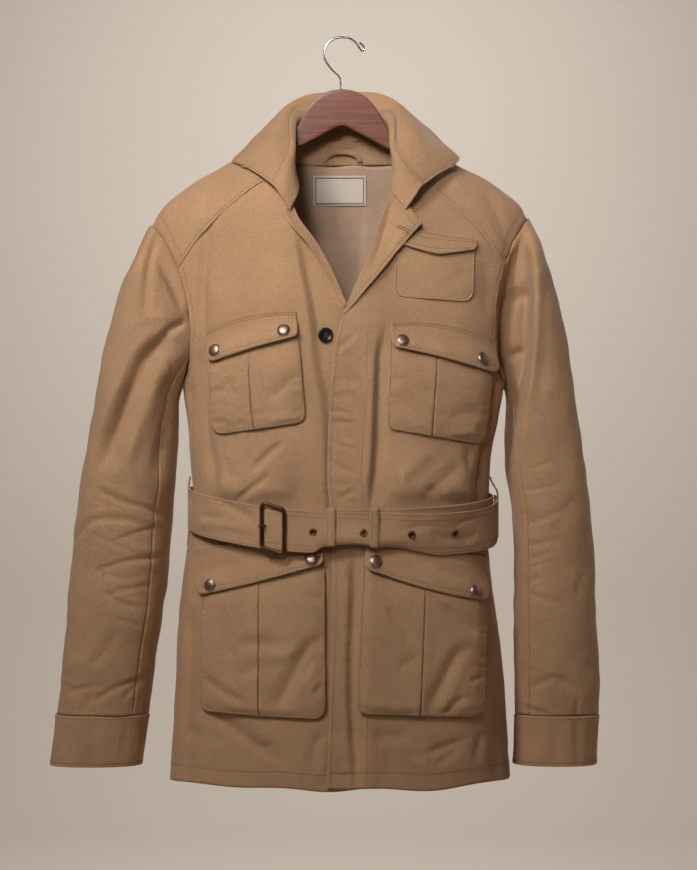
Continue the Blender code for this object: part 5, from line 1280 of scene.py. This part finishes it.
POCKET_CREASES = {
    "chest_pocket_right": (
        (8, 0, 2.8, (-94, -445), (-74, -437), (-60, -423), (-46, -410)),
        (4, 0, 2, (-162, -432), (-150, -437), (-134, -433)),
        (4, 0, 2.4, (-160, -476), (-148, -472), (-134, -475)), (3.5, 0, 1.8, (-126, -479), (-114, -471)),
        (7, 0, -2, (-92, -474), (-66, -469), (-42, -463)), (3.5, 0, 1.6, (-64, -465), (-50, -461), (-40, -462)),
        (4, 0, 1.6, (-116, -467), (-102, -464), (-88, -461)), (8, 0, 1.6, (-140, -420), (-124, -446)),
    ),
    "chest_pocket_left": (
        (4.5, 0, 2.2, (52, -425), (64, -421), (76, -427)), (8, 0, 2.4, (62, -436), (78, -456), (94, -468)),
        (7, 0, 1.8, (98, -434), (110, -448)), (7, 0, -2.2, (122, -493), (146, -486), (166, -484)),
        (3.5, 0, 1.8, (110, -493), (130, -498), (154, -498)), (4, 0, 1.8, (156, -477), (170, -485)),
        (8, 0, 2, (126, -471), (146, -462), (168, -464)), (5, 0, 1.4, (102, -461), (124, -467)),
    ),
    "hip_pocket_right": (
        (6, .2, 4, (-172, -776), (-156, -786), (-142, -796), (-124, -806), (-114, -818)),
        (10, -.1, 5, (-18, -726), (-38, -742), (-52, -766), (-66, -792), (-82, -826)),
        (5, 0, 2.4, (-24, -746), (-38, -764), (-48, -784)), (5, 0, 2.2, (-18, -782), (-36, -800)),
        (8, 0, 2.6, (-126, -735), (-104, -738), (-84, -736), (-68, -743)),
        (8, 0, -2.2, (-98, -753), (-70, -752), (-44, -741)),
        (8, 0, 2, (-124, -777), (-104, -768), (-90, -761)), (4, 0, 2.6, (-44, -675), (-32, -684), (-20, -693)),
        (9, 0, 1.8, (-150, -704), (-134, -736), (-130, -764)),
        (7, 0, -1.8, (-150, -814), (-90, -817), (-36, -819)),
    ),
    "hip_pocket_left": (
        (9, 0, 4, (116, -688), (136, -708), (152, -722), (168, -729)),
        (9, -.1, 4.4, (152, -736), (134, -756), (120, -784), (108, -806), (98, -828)),
        (6, 0, 3, (146, -799), (130, -814), (116, -827)),
        (7, 0, 2.8, (48, -694), (62, -706), (74, -722), (80, -740)),
        (5, 0, 2, (28, -731), (46, -739)), (9, 0, 2.2, (64, -765), (94, -755)),
        (4, 0, 2.2, (148, -785), (174, -777)),
        (7, 0, -1.8, (28, -807), (60, -814), (92, -818)),
    ),
    "upper_pocket_left": ((7, 0, 1.6, (110, -319), (130, -308), (152, -292)),),
}


def pocket_base(row):
    """A pocket's face for shares from 0 to 1, and its edge rolled down to the front beyond them."""
    name, side, x0t, x1t, x0b, x1b, z0t, z1t, z0b, z1b, puff, pleat = row
    full = z0t - z0b
    seed = len(name) + int(abs(x0t))

    def surface(s, t):
        over = np.clip(np.maximum(np.maximum(-s, s - 1), -t), 0.0, 1.0)
        s, t = np.clip(s, 0.0, 1.0), np.clip(t, 0.0, 1.0)
        height = t * full
        under = np.clip(1 - height / POCKET_CORNER, 0.0, 1.0)
        level = np.sqrt(1 - under ** 2)
        inset = POCKET_CORNER * (1 - level) + POCKET_INSET
        x0, x1 = blend(x0b, x0t, t) + inset, blend(x1b, x1t, t) - inset
        x, z = blend(x0, x1, s), blend(blend(z0b, z1b, s), blend(z0t, z1t, s), t)
        off = np.minimum(np.minimum(x - x0, x1 - x), height)
        loose = blend(POCKET_TOP_SHARE, 1.0, soft_step(full - height, 0.0, POCKET_TOP_RUN))
        lift = LAY_GAP + POCKET_WALL + puff * loose * (0.6 + 0.4 * soft_step(off, 0.0, 14.0))
        lift = lift - 0.35 * np.exp(-((off - 1.9) / 0.8) ** 2) - 0.7 * np.clip(1 - off / 1.8, 0.0, 1.0) ** 2
        settle = soft_step(off, 0.0, 3.0)
        lift = lift - gathers(height, x - x0, full, seed) * settle
        lift = lift - gathers(height, x1 - x, full, seed + 1) * settle
        lift = lift - gathers(x - x0, height, x1b - x0b, seed + 2, deep=0.9) * settle
        lift = lift - crease_push(POCKET_CREASES[name], x, z) * soft_step(off, 0.0, 6.0)
        if pleat:
            away = (s - pleat) * (x1 - x0)
            lift = lift - PLEAT_DEEP * loose * (np.exp(-(away / PLEAT_HALF) ** 2)
                                                - 0.3 * np.exp(-((np.abs(away) - 3.0) / PLEAT_REACH) ** 2))
        lift = np.maximum(lift, 1.0)
        roll = 2.0 * over ** 2 - 0.9 * np.minimum(lift, 4.0) * over * (1 - over)
        x, z = x + roll * level * np.where(s < 0.5, 1.0, -1.0), z + roll * under
        return on_front(side, x, z, 0.3 + (lift - 0.3) * np.sqrt(1 - over ** 2))
    return surface


lines = []
for row in POCKETS:
    name, side, pleat = row[0], row[1], row[-1]
    surface = pocket_base(row)
    wide, tall = row[5] - row[4], row[6] - row[8]
    turn = np.array((-1.0, -0.8, -0.55, -0.28))
    corner = POCKET_CORNER * (1 - np.cos(np.linspace(0, math.pi / 2, 9))) / tall
    rows = np.concatenate([turn, corner, np.linspace(corner[-1], 1.0, int(tall / 2.6))[1:]])
    columns = np.concatenate([turn, packed(wide, 2.8, pleat or None), 1 - turn[::-1]])
    cloth(name, surface, columns, rows, AHEAD, POCKET_WALL, twill,
          weld=True)
    inset, foot = POCKET_STITCH_SIDE / wide, POCKET_STITCH_FOOT / tall
    lines += [sew_up(surface, s, AHEAD, foot, 0.995, 200) for s in (inset, 1 - inset)]
    lines.append(sew_across(surface, foot, AHEAD, inset, 1 - inset, 200))
thread("pocket_stitch", lines)


# Flaps: doubled twill with rounded lower corners, tucked and stitched down along the top, hanging over
# the pockets; topstitched a little inside their free edges.

# name, side, left and right x at the top, then bottom, z at the top (left, right), then bottom, top bow,
# bottom bow, lift, rise and where the rise begins
FLAPS = (
    ("chest_flap_right", RIGHT, -163, -54, -158, -51, -364, -342, -400, -373, 8, 1, 0.5, 7.5, 0.25),
    ("chest_flap_left", LEFT, 57.8, 187.4, 59, 184, -355, -375.6, -385, -413, 9, 1.5, 0.5, 7.5, 0.25),
    ("hip_flap_right", RIGHT, -177, -21, -170, -22, -628, -598, -681, -645, 0, -1, 1.1, 6.9, 0.4),
    ("hip_flap_left", LEFT, 28, 175, 28, 172, -598, -630, -651, -689, 0, -3, 1.4, 6.6, 0.4),
    ("upper_flap_left", LEFT, 68, 163, 66, 162, -241, -254, -262, -267, 0, -8.5, 0.5, 4.6, -0.2),
)
FLAP_RISE_END, FLAP_CORNER, FLAP_STITCH, FLAP_TUCK = 0.95, 8.0, 5.5, 5.0
FLAP_CREASES = {
    "chest_flap_right": ((7, 0, 1.0, (-136, -372), (-110, -362)), (6, 0, 0.8, (-96, -376), (-78, -362))),
    "chest_flap_left": ((8, 0, 1.6, (84, -374), (116, -378), (150, -388)),
                        (5, 0, 0.8, (128, -398), (146, -388))),
    "hip_flap_right": ((8, 0, 1.4, (-150, -650), (-118, -640)), (8, 0, 1.4, (-90, -652), (-62, -636))),
    "hip_flap_left": ((8, 0, 1.4, (58, -642), (92, -655)), (7, 0, 1.6, (110, -648), (136, -658), (150, -668))),
    "upper_flap_left": ((5, 0, 0.6, (90, -256), (100, -268)),),
}


def flap_base(row):
    name, side, x0t, x1t, x0b, x1b, z0t, z1t, z0b, z1b, top_bow, bottom_bow, lift, rise, rise_from = row
    bend = 1.3 if name.startswith("upper") else 2.0

    def surface(s, t):
        bow = 1 - np.abs(2 * s - 1) ** bend
        top = blend(z0t, z1t, s) + top_bow * bow
        bottom = blend(z0b, z1b, s) + bottom_bow * bow
        down = (top - bottom) * t
        left = (top - bottom) - down
        under = np.clip(FLAP_CORNER - left, 0.0, FLAP_CORNER)
        inset = FLAP_CORNER - np.sqrt(FLAP_CORNER ** 2 - under ** 2)
        x0, x1 = blend(x0t, x0b, t) + inset, blend(x1t, x1b, t) - inset
        x, z = blend(x0, x1, s), blend(top, bottom, t)
        off = np.minimum(np.minimum(x - x0, x1 - x), left)
        high = lift + FOLDED_WALL + rise * soft_step(t, rise_from, FLAP_RISE_END)
        high = high + 0.5 * (1 - soft_step(down, 0.0, FLAP_TUCK))
        high = high - 0.9 * np.exp(-((down - FLAP_TUCK) / 0.9) ** 2)
        high = high - 0.5 * np.exp(-((off - FLAP_STITCH) / 1.0) ** 2) * soft_step(down, 4.0, 9.0)
        high = high - 1.1 * np.clip(1 - off / 1.6, 0.0, 1.0) ** 2
        high = high - gathers(x - x0t, left - FLAP_STITCH, x1t - x0t, int(abs(x0t)), 8.0, 5.0, 0.35)
        high = high - crease_push(FLAP_CREASES[name], x, z)
        return on_front(side, x, z, high)
    return surface


lines = []
flap_surface = {}
for row in FLAPS:
    name, x0b, x1b, z0t, z1t, z0b, z1b = row[0], *row[4:10]
    surface = flap_surface[name] = flap_base(row)
    wide, tall = x1b - x0b, max(z0t - z0b, z1t - z1b) + row[10]
    corner = 1 - FLAP_CORNER * (1 - np.cos(np.linspace(math.pi / 2, 0, 10))) / tall
    rows = np.concatenate([np.linspace(0.0, corner[0], int((tall - FLAP_CORNER) / 1.5)), corner[1:]])
    cloth(name, surface, packed(wide, 2.8), rows, AHEAD, FOLDED_WALL, twill)
    inset, foot = FLAP_STITCH / wide, 1 - FLAP_STITCH / tall
    lines += [sew_across(surface, t, AHEAD, 0.01, 0.99, 160) for t in (1.6 / tall, FLAP_TUCK / tall + 0.03)]
    lines += [sew_up(surface, s, AHEAD, FLAP_TUCK / tall, foot, 60) for s in (inset, 1 - inset)]
    lines.append(sew_across(surface, foot, AHEAD, inset, 1 - inset, 160))
thread("flap_stitch", lines)


# Snaps: domed caps of plated brass, two to each large flap. They are pressed through the cloth and lie
# flat on it with a thin rim.

# name, flap, x, z and lift
SNAPS = (
    ("snap_chest_right_outer", 0, -148, -387, 0.3), ("snap_chest_right_inner", 0, -67.6, -364.5, 0.5),
    ("snap_chest_left_inner", 1, 72.2, -376.5, 0.5), ("snap_chest_left_outer", 1, 165, -397, 0.3),
    ("snap_hip_right_outer", 2, -153, -670.5, 0.0), ("snap_hip_right_inner", 2, -35.8, -637.5, 0.4),
    ("snap_hip_left_inner", 3, 39, -640, 0.5), ("snap_hip_left_outer", 3, 155, -678, 0.0),
)
SNAP_RADIUS, SNAP_HEIGHT = 8.0, 3.4
# Section of a cap: radius and height as shares
SNAP_SECTION = ((0.0, 1.0), (0.25, 0.98), (0.5, 0.9), (0.7, 0.76), (0.84, 0.55), (0.92, 0.34), (0.95, 0.2),
                (1.0, 0.16), (1.0, 0.0), (0.0, 0.0))
# Copper-toned nickel plate: a warm grey metal, worn and speckled.
plate = mottled("copper_nickel_plate_worn", "#8c7266", "#bfa698", 460.0, 4.0, (0.34, 0.5), Metallic=1.0)


def turned(name, section, sides, seat, out, mat):
    """A turned piece from its section of radius and height, set on a seat."""
    mesh = bpy.data.meshes.new(name)
    out = Vector(out)
    spin = out.to_track_quat("Z", "Y")
    verts, faces = [], []
    for radius, height in section:
        for k in range(sides):
            a = 2 * math.pi * k / sides
            point = spin @ Vector((radius * math.cos(a), radius * math.sin(a), height))
            verts.append((point + Vector(seat)) * MM)
    for i in range(len(section) - 1):
        for k in range(sides):
            n = (k + 1) % sides
            faces.append((i * sides + k, (i + 1) * sides + k, (i + 1) * sides + n, i * sides + n))
    mesh.from_pydata(verts, [], faces)
    work = bmesh.new()
    work.from_mesh(mesh)
    bmesh.ops.remove_doubles(work, verts=work.verts, dist=1e-6)
    bmesh.ops.recalc_face_normals(work, faces=work.faces)
    work.to_mesh(mesh)
    work.free()
    mesh.shade_smooth()
    mesh.set_sharp_from_angle(angle=math.radians(50))
    return add_object(name, mesh, mat)


for name, index, x, z, lift in SNAPS:
    row = FLAPS[index]
    surface = flap_surface[row[0]]
    s = np.array([(x - row[4]) / (row[5] - row[4])])
    bow = 4 * s * (1 - s)
    top, bottom = blend(row[6], row[7], s) + row[10] * bow, blend(row[8], row[9], s) + row[11] * bow
    t = (z - top) / (bottom - top)
    seat, out = sew_line(surface, s, t, AHEAD, 0.1)
    cap = turned(name + "_cap", [(SNAP_RADIUS * r, SNAP_HEIGHT * h) for r, h in SNAP_SECTION], 40,
                 seat[0], out[0], plate)
    dress(cap, name)


# Front button: a black button of polished plastic, dished inside its rim. It is sewn on the right
# front with two bars of thread, just below the open neck.

BUTTON_RADIUS, BUTTON_HEIGHT, BUTTON_X, BUTTON_Z = 9.2, 3.2, -19.5, -369.5
BUTTON_SECTION = ((0.0, 0.55), (0.5, 0.55), (0.6, 0.6), (0.7, 0.86), (0.78, 0.98), (0.88, 0.96), (0.96, 0.78),
                  (1.0, 0.5), (0.96, 0.2), (0.85, 0.0), (0.0, 0.0))
# Polished horn-like plastic: black, with a faint brown streak and a soft shine.
horn = mottled("black_button_plastic_polished", "#050404", "#1c1411", 240.0, 3.0, Roughness=0.28)
button_x, button_z = np.array([BUTTON_X]), np.array([BUTTON_Z])
button_y = (front_y(RIGHT, button_x, button_z) + front_drop(button_x, button_z)
            + crease_push(FRONT_CREASES[RIGHT], button_x, button_z))
seat = np.array((BUTTON_X, float(button_y[0]) - 1.6, BUTTON_Z))
facing = np.array((0.1, -0.99, 0.05))
button = turned("front_button_disc", [(BUTTON_RADIUS * r, BUTTON_HEIGHT * h) for r, h in BUTTON_SECTION], 48,
                seat, facing, horn)
dress(button, "front_button")
lines = []
for way in (-1.7, 1.7):
    ends = seat + facing * (BUTTON_HEIGHT * 0.55 + 0.1) + np.array([(-2.2, 0, way), (2.2, 0, way)])
    lines.append((ends, np.array([facing, facing])))
thread("front_button_stitch", lines, 4.4, 4.2)


# Belt: one strap of doubled twill round the waist. It leaves the buckle, goes round the back, comes
# through the buckle again and on under two keepers to its tail; it has metal eyelets.

# angle from the middle of the front towards the left, level, lift off the body
BELT = (
    (-20, -602, 9.4), (10, -602, 9.2), (45, -597, 9.0), (75, -590, 6.0), (90, -587, 3.6),
    (135, -582, 3.0), (180, -580, 3.0), (225, -579, 3.0), (270, -578, 1.8), (288, -581, 4.8),
    (310, -588, 10.0), (340, -600, 12.4), (360, -605, 13.0), (392, -607, 13.0), (425, -601, 12.6),
    (445, -592, 9.5), (456, -588, 8.0),
)
BELT_WIDTH, BELT_LEVEL = 50.0, -600.0
BELT_CREASES = (
    (7, .2, 3.0, (-166, -562), (-140, -571), (-118, -583), (-94, -600)),
    (5, 0, 1.8, (-172, -588), (-140, -589)),
    (6, 0, -2.0, (-180, -594), (-140, -597), (-110, -608)),
    (5, 0, 1.8, (-146, -602), (-124, -606), (-100, -616)),
    (5, 0, 1.4, (70, -600), (96, -598), (124, -596)), (6, 0, 1.8, (104, -604), (130, -612), (158, -606)),
    (4, 0, 1.6, (128, -600), (150, -590), (168, -586)), (5, 0, 1.6, (142, -618), (164, -606)),
)
# x, how far the tail's lower edge rolls up and under there
BELT_ROLL = ((-34, 0), (-20, 9.5), (-8, 11), (12, 14), (30, 12.5), (44, 11), (62, 11), (78, 8), (94, 4),
             (112, 0))
# x, how far the tail leans out at its top and in at its foot
BELT_LEAN = ((48, 0), (72, 8), (100, 13), (150, 13), (168, 6), (178, 0))


def belt_place(turn):
    """Points of the body's surface on the belt's line, by angle."""
    z = read_table(BELT, turn, 1)
    wrapped = (turn + 90) % 360 - 90

    def body(angle):
        angle = (angle + 90) % 360 - 90
        ahead = angle <= 90
        x = np.where(ahead, x_at_turn(angle, z), x_at_turn(180 - angle, z))
        return np.stack([x, np.where(ahead, front_y(LEFT, x, z), depth(BACK, x, z)), z], -1)

    seat = body(wrapped)
    tangent = body(wrapped + 0.5) - body(wrapped - 0.5)
    out = np.stack([tangent[..., 1], -tangent[..., 0], np.zeros_like(z)], -1)
    out /= np.linalg.norm(out, axis=-1, keepdims=True)
    return seat + out * read_table(BELT, turn, 2)[..., None], out


def belt_base(s, t):
    place = belt_place(blend(BELT[0][0], BELT[-1][0], s))[0]
    place[..., 2] += (t - 0.5) * BELT_WIDTH
    return place


def belt_surface(s, t):
    plain = belt_base(s, t)
    bent = creased(belt_base, BEHIND, BELT_CREASES, seed=31, deep=0.6)(s, t)
    turn = blend(BELT[0][0], BELT[-1][0], s)
    outer = soft_step(turn, 292.0, 306.0)
    point = blend(plain, bent, outer[..., None])
    ahead = np.maximum(outer, 1 - soft_step(turn, 66.0, 86.0))
    roll = read_table(BELT_ROLL, point[..., 0]) * ahead * blend(0.6, 1.0, outer)
    curl = np.clip(1 - t / 0.45, 0.0, 1.0) ** 2
    point[..., 1] += read_table(BELT_LEAN, point[..., 0]) * ahead * (0.5 - t)
    point[..., 1] += roll * outer * (0.1 * curl - 0.16 * np.exp(-((t - 0.42) / 0.2) ** 2))
    point[..., 2] += roll * curl
    return point


cloth("belt", belt_surface, np.linspace(0, 1, 460), packed(BELT_WIDTH, 3.0), BEHIND, FOLDED_WALL, twill,
      inward=False, rim=0.6)
thread("belt_stitch", [sew_across(belt_surface, t, BEHIND, 0.004, 0.996, 900, FOLDED_WALL)
                       for inset in (2.6, 8.0) for t in (inset / BELT_WIDTH, 1 - inset / BELT_WIDTH)])


# Belt hardware: a slanted buckle frame of lacquered bronze with the tip of its prong, and four brass
# eyelets in the tail.


def belt_turn(x):
    """Angle of the belt's outer layer where it passes x at the front."""
    return 360 + turn_of(x, np.full_like(x, BELT_LEVEL))


def on_belt(x, z, rise):
    """Points on the outer layer of the belt at x and z."""
    x = np.asarray(x, float)
    turn = belt_turn(x)
    s = (turn - BELT[0][0]) / (BELT[-1][0] - BELT[0][0])
    level = read_table(BELT, turn, 1)
    t = np.clip((np.asarray(z, float) - level) / BELT_WIDTH + 0.5, 0.0, 1.0)
    return sew_line(belt_surface, s, t, BEHIND, FOLDED_WALL + rise)


BUCKLE_X0, BUCKLE_X1, BUCKLE_Z0, BUCKLE_Z1 = -95.4, -68.6, -570.5, -623.5
BUCKLE_SLANT, BUCKLE_WIRE, BUCKLE_CORNER, BUCKLE_REST, PRONG_WIRE = -5.5, 2.4, 5.0, 0.5, 1.3
# Lacquered bronze: nearly black brown, with a thin gloss and a fine warm mottle.
bronze = mottled("dark_bronze_lacquered", "#2a1710", "#6b4028", 300.0, 4.0, (0.28, 0.5), Metallic=0.7,
                 Coat_Weight=0.3)
corners = ((BUCKLE_X0, BUCKLE_Z0), (BUCKLE_X1, BUCKLE_Z0 + BUCKLE_SLANT),
           (BUCKLE_X1, BUCKLE_Z1 + BUCKLE_SLANT), (BUCKLE_X0, BUCKLE_Z1))
signs = ((1, -1), (-1, -1), (-1, 1), (1, 1))
path = []
for index, ((x, z), (way_x, way_z)) in enumerate(zip(corners, signs)):
    for a in np.radians(np.linspace(180 - 90 * index, 90 - 90 * index, 9)):
        path.append((x + BUCKLE_CORNER * (way_x + math.cos(a)), z + BUCKLE_CORNER * (way_z + math.sin(a))))
path = np.array(path)
seats = on_belt(path[:, 0], np.full(len(path), BELT_LEVEL), BUCKLE_WIRE + BUCKLE_REST)[0]
buckle = wire("buckle_bar", np.stack([path[:, 0], seats[:, 1], path[:, 1]], -1), BUCKLE_WIRE, bronze,
              closed=True)
dress(buckle, "buckle_frame")
level = (BUCKLE_Z0 + BUCKLE_Z1) / 2
prong_x = np.array([BUCKLE_X0 + d for d in (5.0, 3.5, 1.5, -3.5)])
prong_rise = np.array([1.8, 3.5, 7.0, 7.0])
prong_y = on_belt(prong_x, np.full(4, BELT_LEVEL), 0.0)[0][:, 1] - prong_rise
prong = wire("prong_tip", np.stack([prong_x, prong_y, np.full(4, level)], -1), PRONG_WIRE, bronze)
dress(prong, "buckle_prong")

EYELET_XS = (-33.4, 25.4, 80.6, 129.8)
# Brass, aged: dull brown-gold with darker pits.
brass = mottled("brass_aged", "#4d3624", "#a07b52", 700.0, 3.0, (0.25, 0.5), Metallic=1.0)
eyelet_z = read_table(BELT, belt_turn(np.array(EYELET_XS)), 1)
seats, outs = on_belt(EYELET_XS, eyelet_z, 0.1)
EYELET_SECTION = ((2.2, -0.6), (2.2, 0.5), (2.6, 1.1), (3.4, 1.35), (4.2, 1.1), (4.7, 0.5), (4.8, 0.0))
HOLE_SECTION = ((0.0, 0.12), (2.3, 0.12), (2.3, -0.4))
for number, (seat, out) in enumerate(zip(seats, outs), 1):
    ring = turned(f"eyelet_ring_{number}", EYELET_SECTION, 32, seat, out, brass)
    dress(ring, f"eyelet_{number}")
# Eyelet holes: flat dark discs of painted shade inside the rings, standing in for the shadow seen in the punched
# holes.
shade = mottled("punched_hole_painted_shade", "#120b07", "#2a1c12", 900.0, Roughness=0.95)
for number, (seat, out) in enumerate(zip(seats, outs), 1):
    hole = turned(f"eyelet_hole_{number}", HOLE_SECTION, 24, seat, out, shade)
    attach(hole, "root")


# Belt keepers and side loops: narrow straps of doubled twill. The keepers ring both layers of the belt;
# the side loops are sewn to the side seams above and below it.

KEEPER_XS, KEEPER_WIDTH, KEEPER_WALL, KEEPER_ROOM, KEEPER_DRAW = (-13.0, 38.6), 10.5, 1.2, 3.2, 10.0
lines = []
for number, x in enumerate(KEEPER_XS, 1):
    turn = turn_of(np.array([x]), np.array([BELT_LEVEL]))
    inner = belt_place(turn)[0][0]
    outer, out = belt_place(turn + 360)
    outer, out = outer[0], out[0]
    top = max(inner[2], outer[2]) + BELT_WIDTH / 2 + 0.7
    bottom = min(inner[2], outer[2]) - BELT_WIDTH / 2 - 0.7 + KEEPER_DRAW
    near, far = outer[1] - FOLDED_WALL - KEEPER_ROOM + 1.2, inner[1] + 1.4
    beside = np.cross(UP, out)

    def keeper_base(s, t, x=x, near=near, far=far, top=top, bottom=bottom, beside=beside):
        angle = s * 2 * math.pi
        across = np.sign(np.sin(angle)) * np.abs(np.sin(angle)) ** 0.35
        climb = np.sign(np.cos(angle)) * np.abs(np.cos(angle)) ** 0.16
        y = (near + far) / 2 - across * (far - near) / 2
        z = (top + bottom) / 2 + climb * (top - bottom) / 2
        point = np.stack([np.full_like(s, x), y, z], -1)
        return point + ((t - 0.5) * KEEPER_WIDTH)[..., None] * beside

    cloth(f"belt_keeper_{number}", keeper_base, np.linspace(0, 1, 81)[:-1], np.linspace(0, 1, 7),
          (0, 0, -1), KEEPER_WALL, twill, inward=False, ring=True, rim=0.4)
    lines += [sew_across(keeper_base, t, (0, 0, -1), 0.03, 0.47, 80, KEEPER_WALL) for t in (0.14, 0.86)]
thread("keeper_stitch", lines)

LOOP_WIDTH, LOOP_ROOM, LOOP_TOP, LOOP_BOTTOM, LOOP_BRIDGE, LOOP_WALL = 13.0, 0.4, -540.0, -625.0, 22.0, 1.4
lines = []
for side in (RIGHT, LEFT):
    turn = np.array([90.0 if side == LEFT else 270.0])
    outer = abs(belt_place(turn + 360 if side == LEFT else turn)[0][0, 0]) + FOLDED_WALL
    middle = belt_place(turn)[0][0, 2]

    def loop_base(s, t, side=side, outer=outer, middle=middle):
        z = blend(LOOP_BOTTOM, LOOP_TOP, t)
        over = soft_step(BELT_WIDTH / 2 + LOOP_BRIDGE - np.abs(z - middle), 0.0, LOOP_BRIDGE)
        x = blend(half_width(np.full_like(z, side), z) + LAY_GAP, outer + LOOP_ROOM, over)
        return np.stack([side * x, (s - 0.5) * LOOP_WIDTH, z], -1)

    cloth("belt_loop_" + SIDE_NAME[side], loop_base, np.linspace(0, 1, 9), np.linspace(0, 1, 70), (side, 0, 0),
          LOOP_WALL, twill, inward=False, rim=0.6)
    lines += [sew_up(loop_base, s, (side, 0, 0), 0.02, 0.98, 80, LOOP_WALL) for s in (0.15, 0.85)]
thread("loop_stitch", lines)


# Inside the neck: a beige cotton back lining, a twill neck facing with a narrow hang loop sewn to it,
# and a woven label stitched to the lining, left bare.

LINING_HALF_BOTTOM, LINING_HALF_TOP, LINING_BOTTOM, LINING_TOP = 135.0, 86.0, -440.0, -151.5
LINING_WALL, LINING_SET_IN, FACING_SET_IN = 1.0, 2.2, 1.7
LINING_CREASES = (
    (5, 0, 2.4, (-40, -150), (-35, -200), (-28, -250), (-22, -310)), (7, 0, -1.6, (0, -210), (6, -300)),
    (5, 0, 2, (26, -195), (22, -245), (20, -305)), (8, 0, 2, (-60, -180), (-52, -250)),
    (9, 0, 2, (52, -180), (44, -260)),
)
# Plain-woven cotton lining: warm beige, a finer and smoother weave than the twill (threads drawn at 1.2 mm),
# paler at its edges partly from rubbing and partly as a painted highlight.
lining = woven("beige_cotton_lining_plain_woven", "#bfa28b", "#a98c76", "#c8ad96", 1.2, 0.0, 0.5)


def inside_back(x, z, set_in):
    y = depth(BACK, x, z) - crease_push(BACK_CREASES, x, z)
    return np.stack([x, y - CLOTH_WALL - set_in, z], -1)


def lining_base(s, t):
    x = (2 * s - 1) * blend(LINING_HALF_BOTTOM, LINING_HALF_TOP, t)
    top = np.minimum(LINING_TOP, ridge(x) - 26.0) - 3.0 + 1.4 * np.sin(x / 9.0) * np.exp(-(x / 60.0) ** 2)
    return inside_back(x, blend(LINING_BOTTOM, top, t), LINING_SET_IN)


def lining_surface(s, t):
    point = lining_base(s, t)
    point[..., 1] += crease_push(LINING_CREASES, point[..., 0], point[..., 2]) * 0.6
    return point


cloth("back_lining", lining_surface, np.linspace(0, 1, 66), np.linspace(0, 1, 70), BEHIND, LINING_WALL, lining)


def facing_base(s, t):
    x = (2 * s - 1) * 68.0
    top = np.minimum(-126.0 + 8.0 * (x / 50.0) ** 2, ridge(x) - 8.0)
    return inside_back(x, blend(LINING_TOP - 2.0, top, t), FACING_SET_IN)


cloth("neck_facing", facing_base, np.linspace(0, 1, 40), np.linspace(0, 1, 12), BEHIND, LINING_WALL, twill)
LABEL_X0, LABEL_X1, LABEL_TOP, LABEL_BOTTOM = -36.0, 30.0, -166.0, -203.0


def label_base(s, t):
    x, z = blend(LABEL_X0, LABEL_X1, s), blend(LABEL_BOTTOM, LABEL_TOP, t)
    point = inside_back(x, z, LINING_SET_IN + LINING_WALL + 0.9)
    point[..., 1] += np.minimum(crease_push(LINING_CREASES, x, z) * 0.6, 0.0)
    return point


# Woven label tape: off-white, with a thin dark line woven a few millimetres inside its edge.
tape, tree, shader = new_material("off_white_label_tape_woven", Roughness=0.85, Sheen_Weight=0.15)
flat = add_node(tree, "ShaderNodeUVMap", uv_map="weave")
yarn = add_node(tree, "ShaderNodeTexNoise", {"Vector": flat.outputs["UV"], "Scale": 700.0, "Detail": 2.0})
ground = add_node(tree, "ShaderNodeMix", {"Factor": yarn.outputs["Fac"], "A": paint("#c2b3a4"),
                                         "B": paint("#e0d5c8")}, data_type="RGBA")
edge = add_node(tree, "ShaderNodeAttribute", attribute_name="edge")
border = add_node(tree, "ShaderNodeMath", {0: edge.outputs["Fac"], 1: 0.0032, 2: 0.0005}, operation="COMPARE")
tone = add_node(tree, "ShaderNodeMix", {"Factor": border.outputs["Value"], "A": ground.outputs["Result"],
                                       "B": paint("#4a3830")}, data_type="RGBA")
tree.links.new(tone.outputs["Result"], shader.inputs["Base Color"])
cloth("neck_label", label_base, np.linspace(0, 1, 64), np.linspace(0, 1, 38), BEHIND, LINING_WALL * 0.6, tape)
HANG_REACH, HANG_TOP, HANG_BOTTOM, HANG_WIDTH = 25.0, -134.0, -149.0, 6.0


def hang_base(s, t):
    angle = s * math.pi
    out_x, out_z = -np.cos(angle), np.sin(angle)
    x, z = HANG_REACH * out_x, blend(HANG_BOTTOM, HANG_TOP, out_z)
    width = HANG_WIDTH * t
    stand_off = FACING_SET_IN + LINING_WALL + 0.8 + 2.0 * out_z + 1.2 * np.sin(t * math.pi)
    return inside_back(x - out_x * width, z - out_z * width, stand_off)


cloth("hang_loop", hang_base, np.linspace(0, 1, 60), np.linspace(0, 1, 9), BEHIND, LINING_WALL, twill)
lines = [sew_across(facing_base, 0.82, AHEAD, 0.04, 0.96, 80, LINING_WALL)]
lines += [sew_across(label_base, t, AHEAD, 0.02, 0.98, 60, 0.7) for t in (0.05, 0.95)]
thread("neck_stitch", lines)
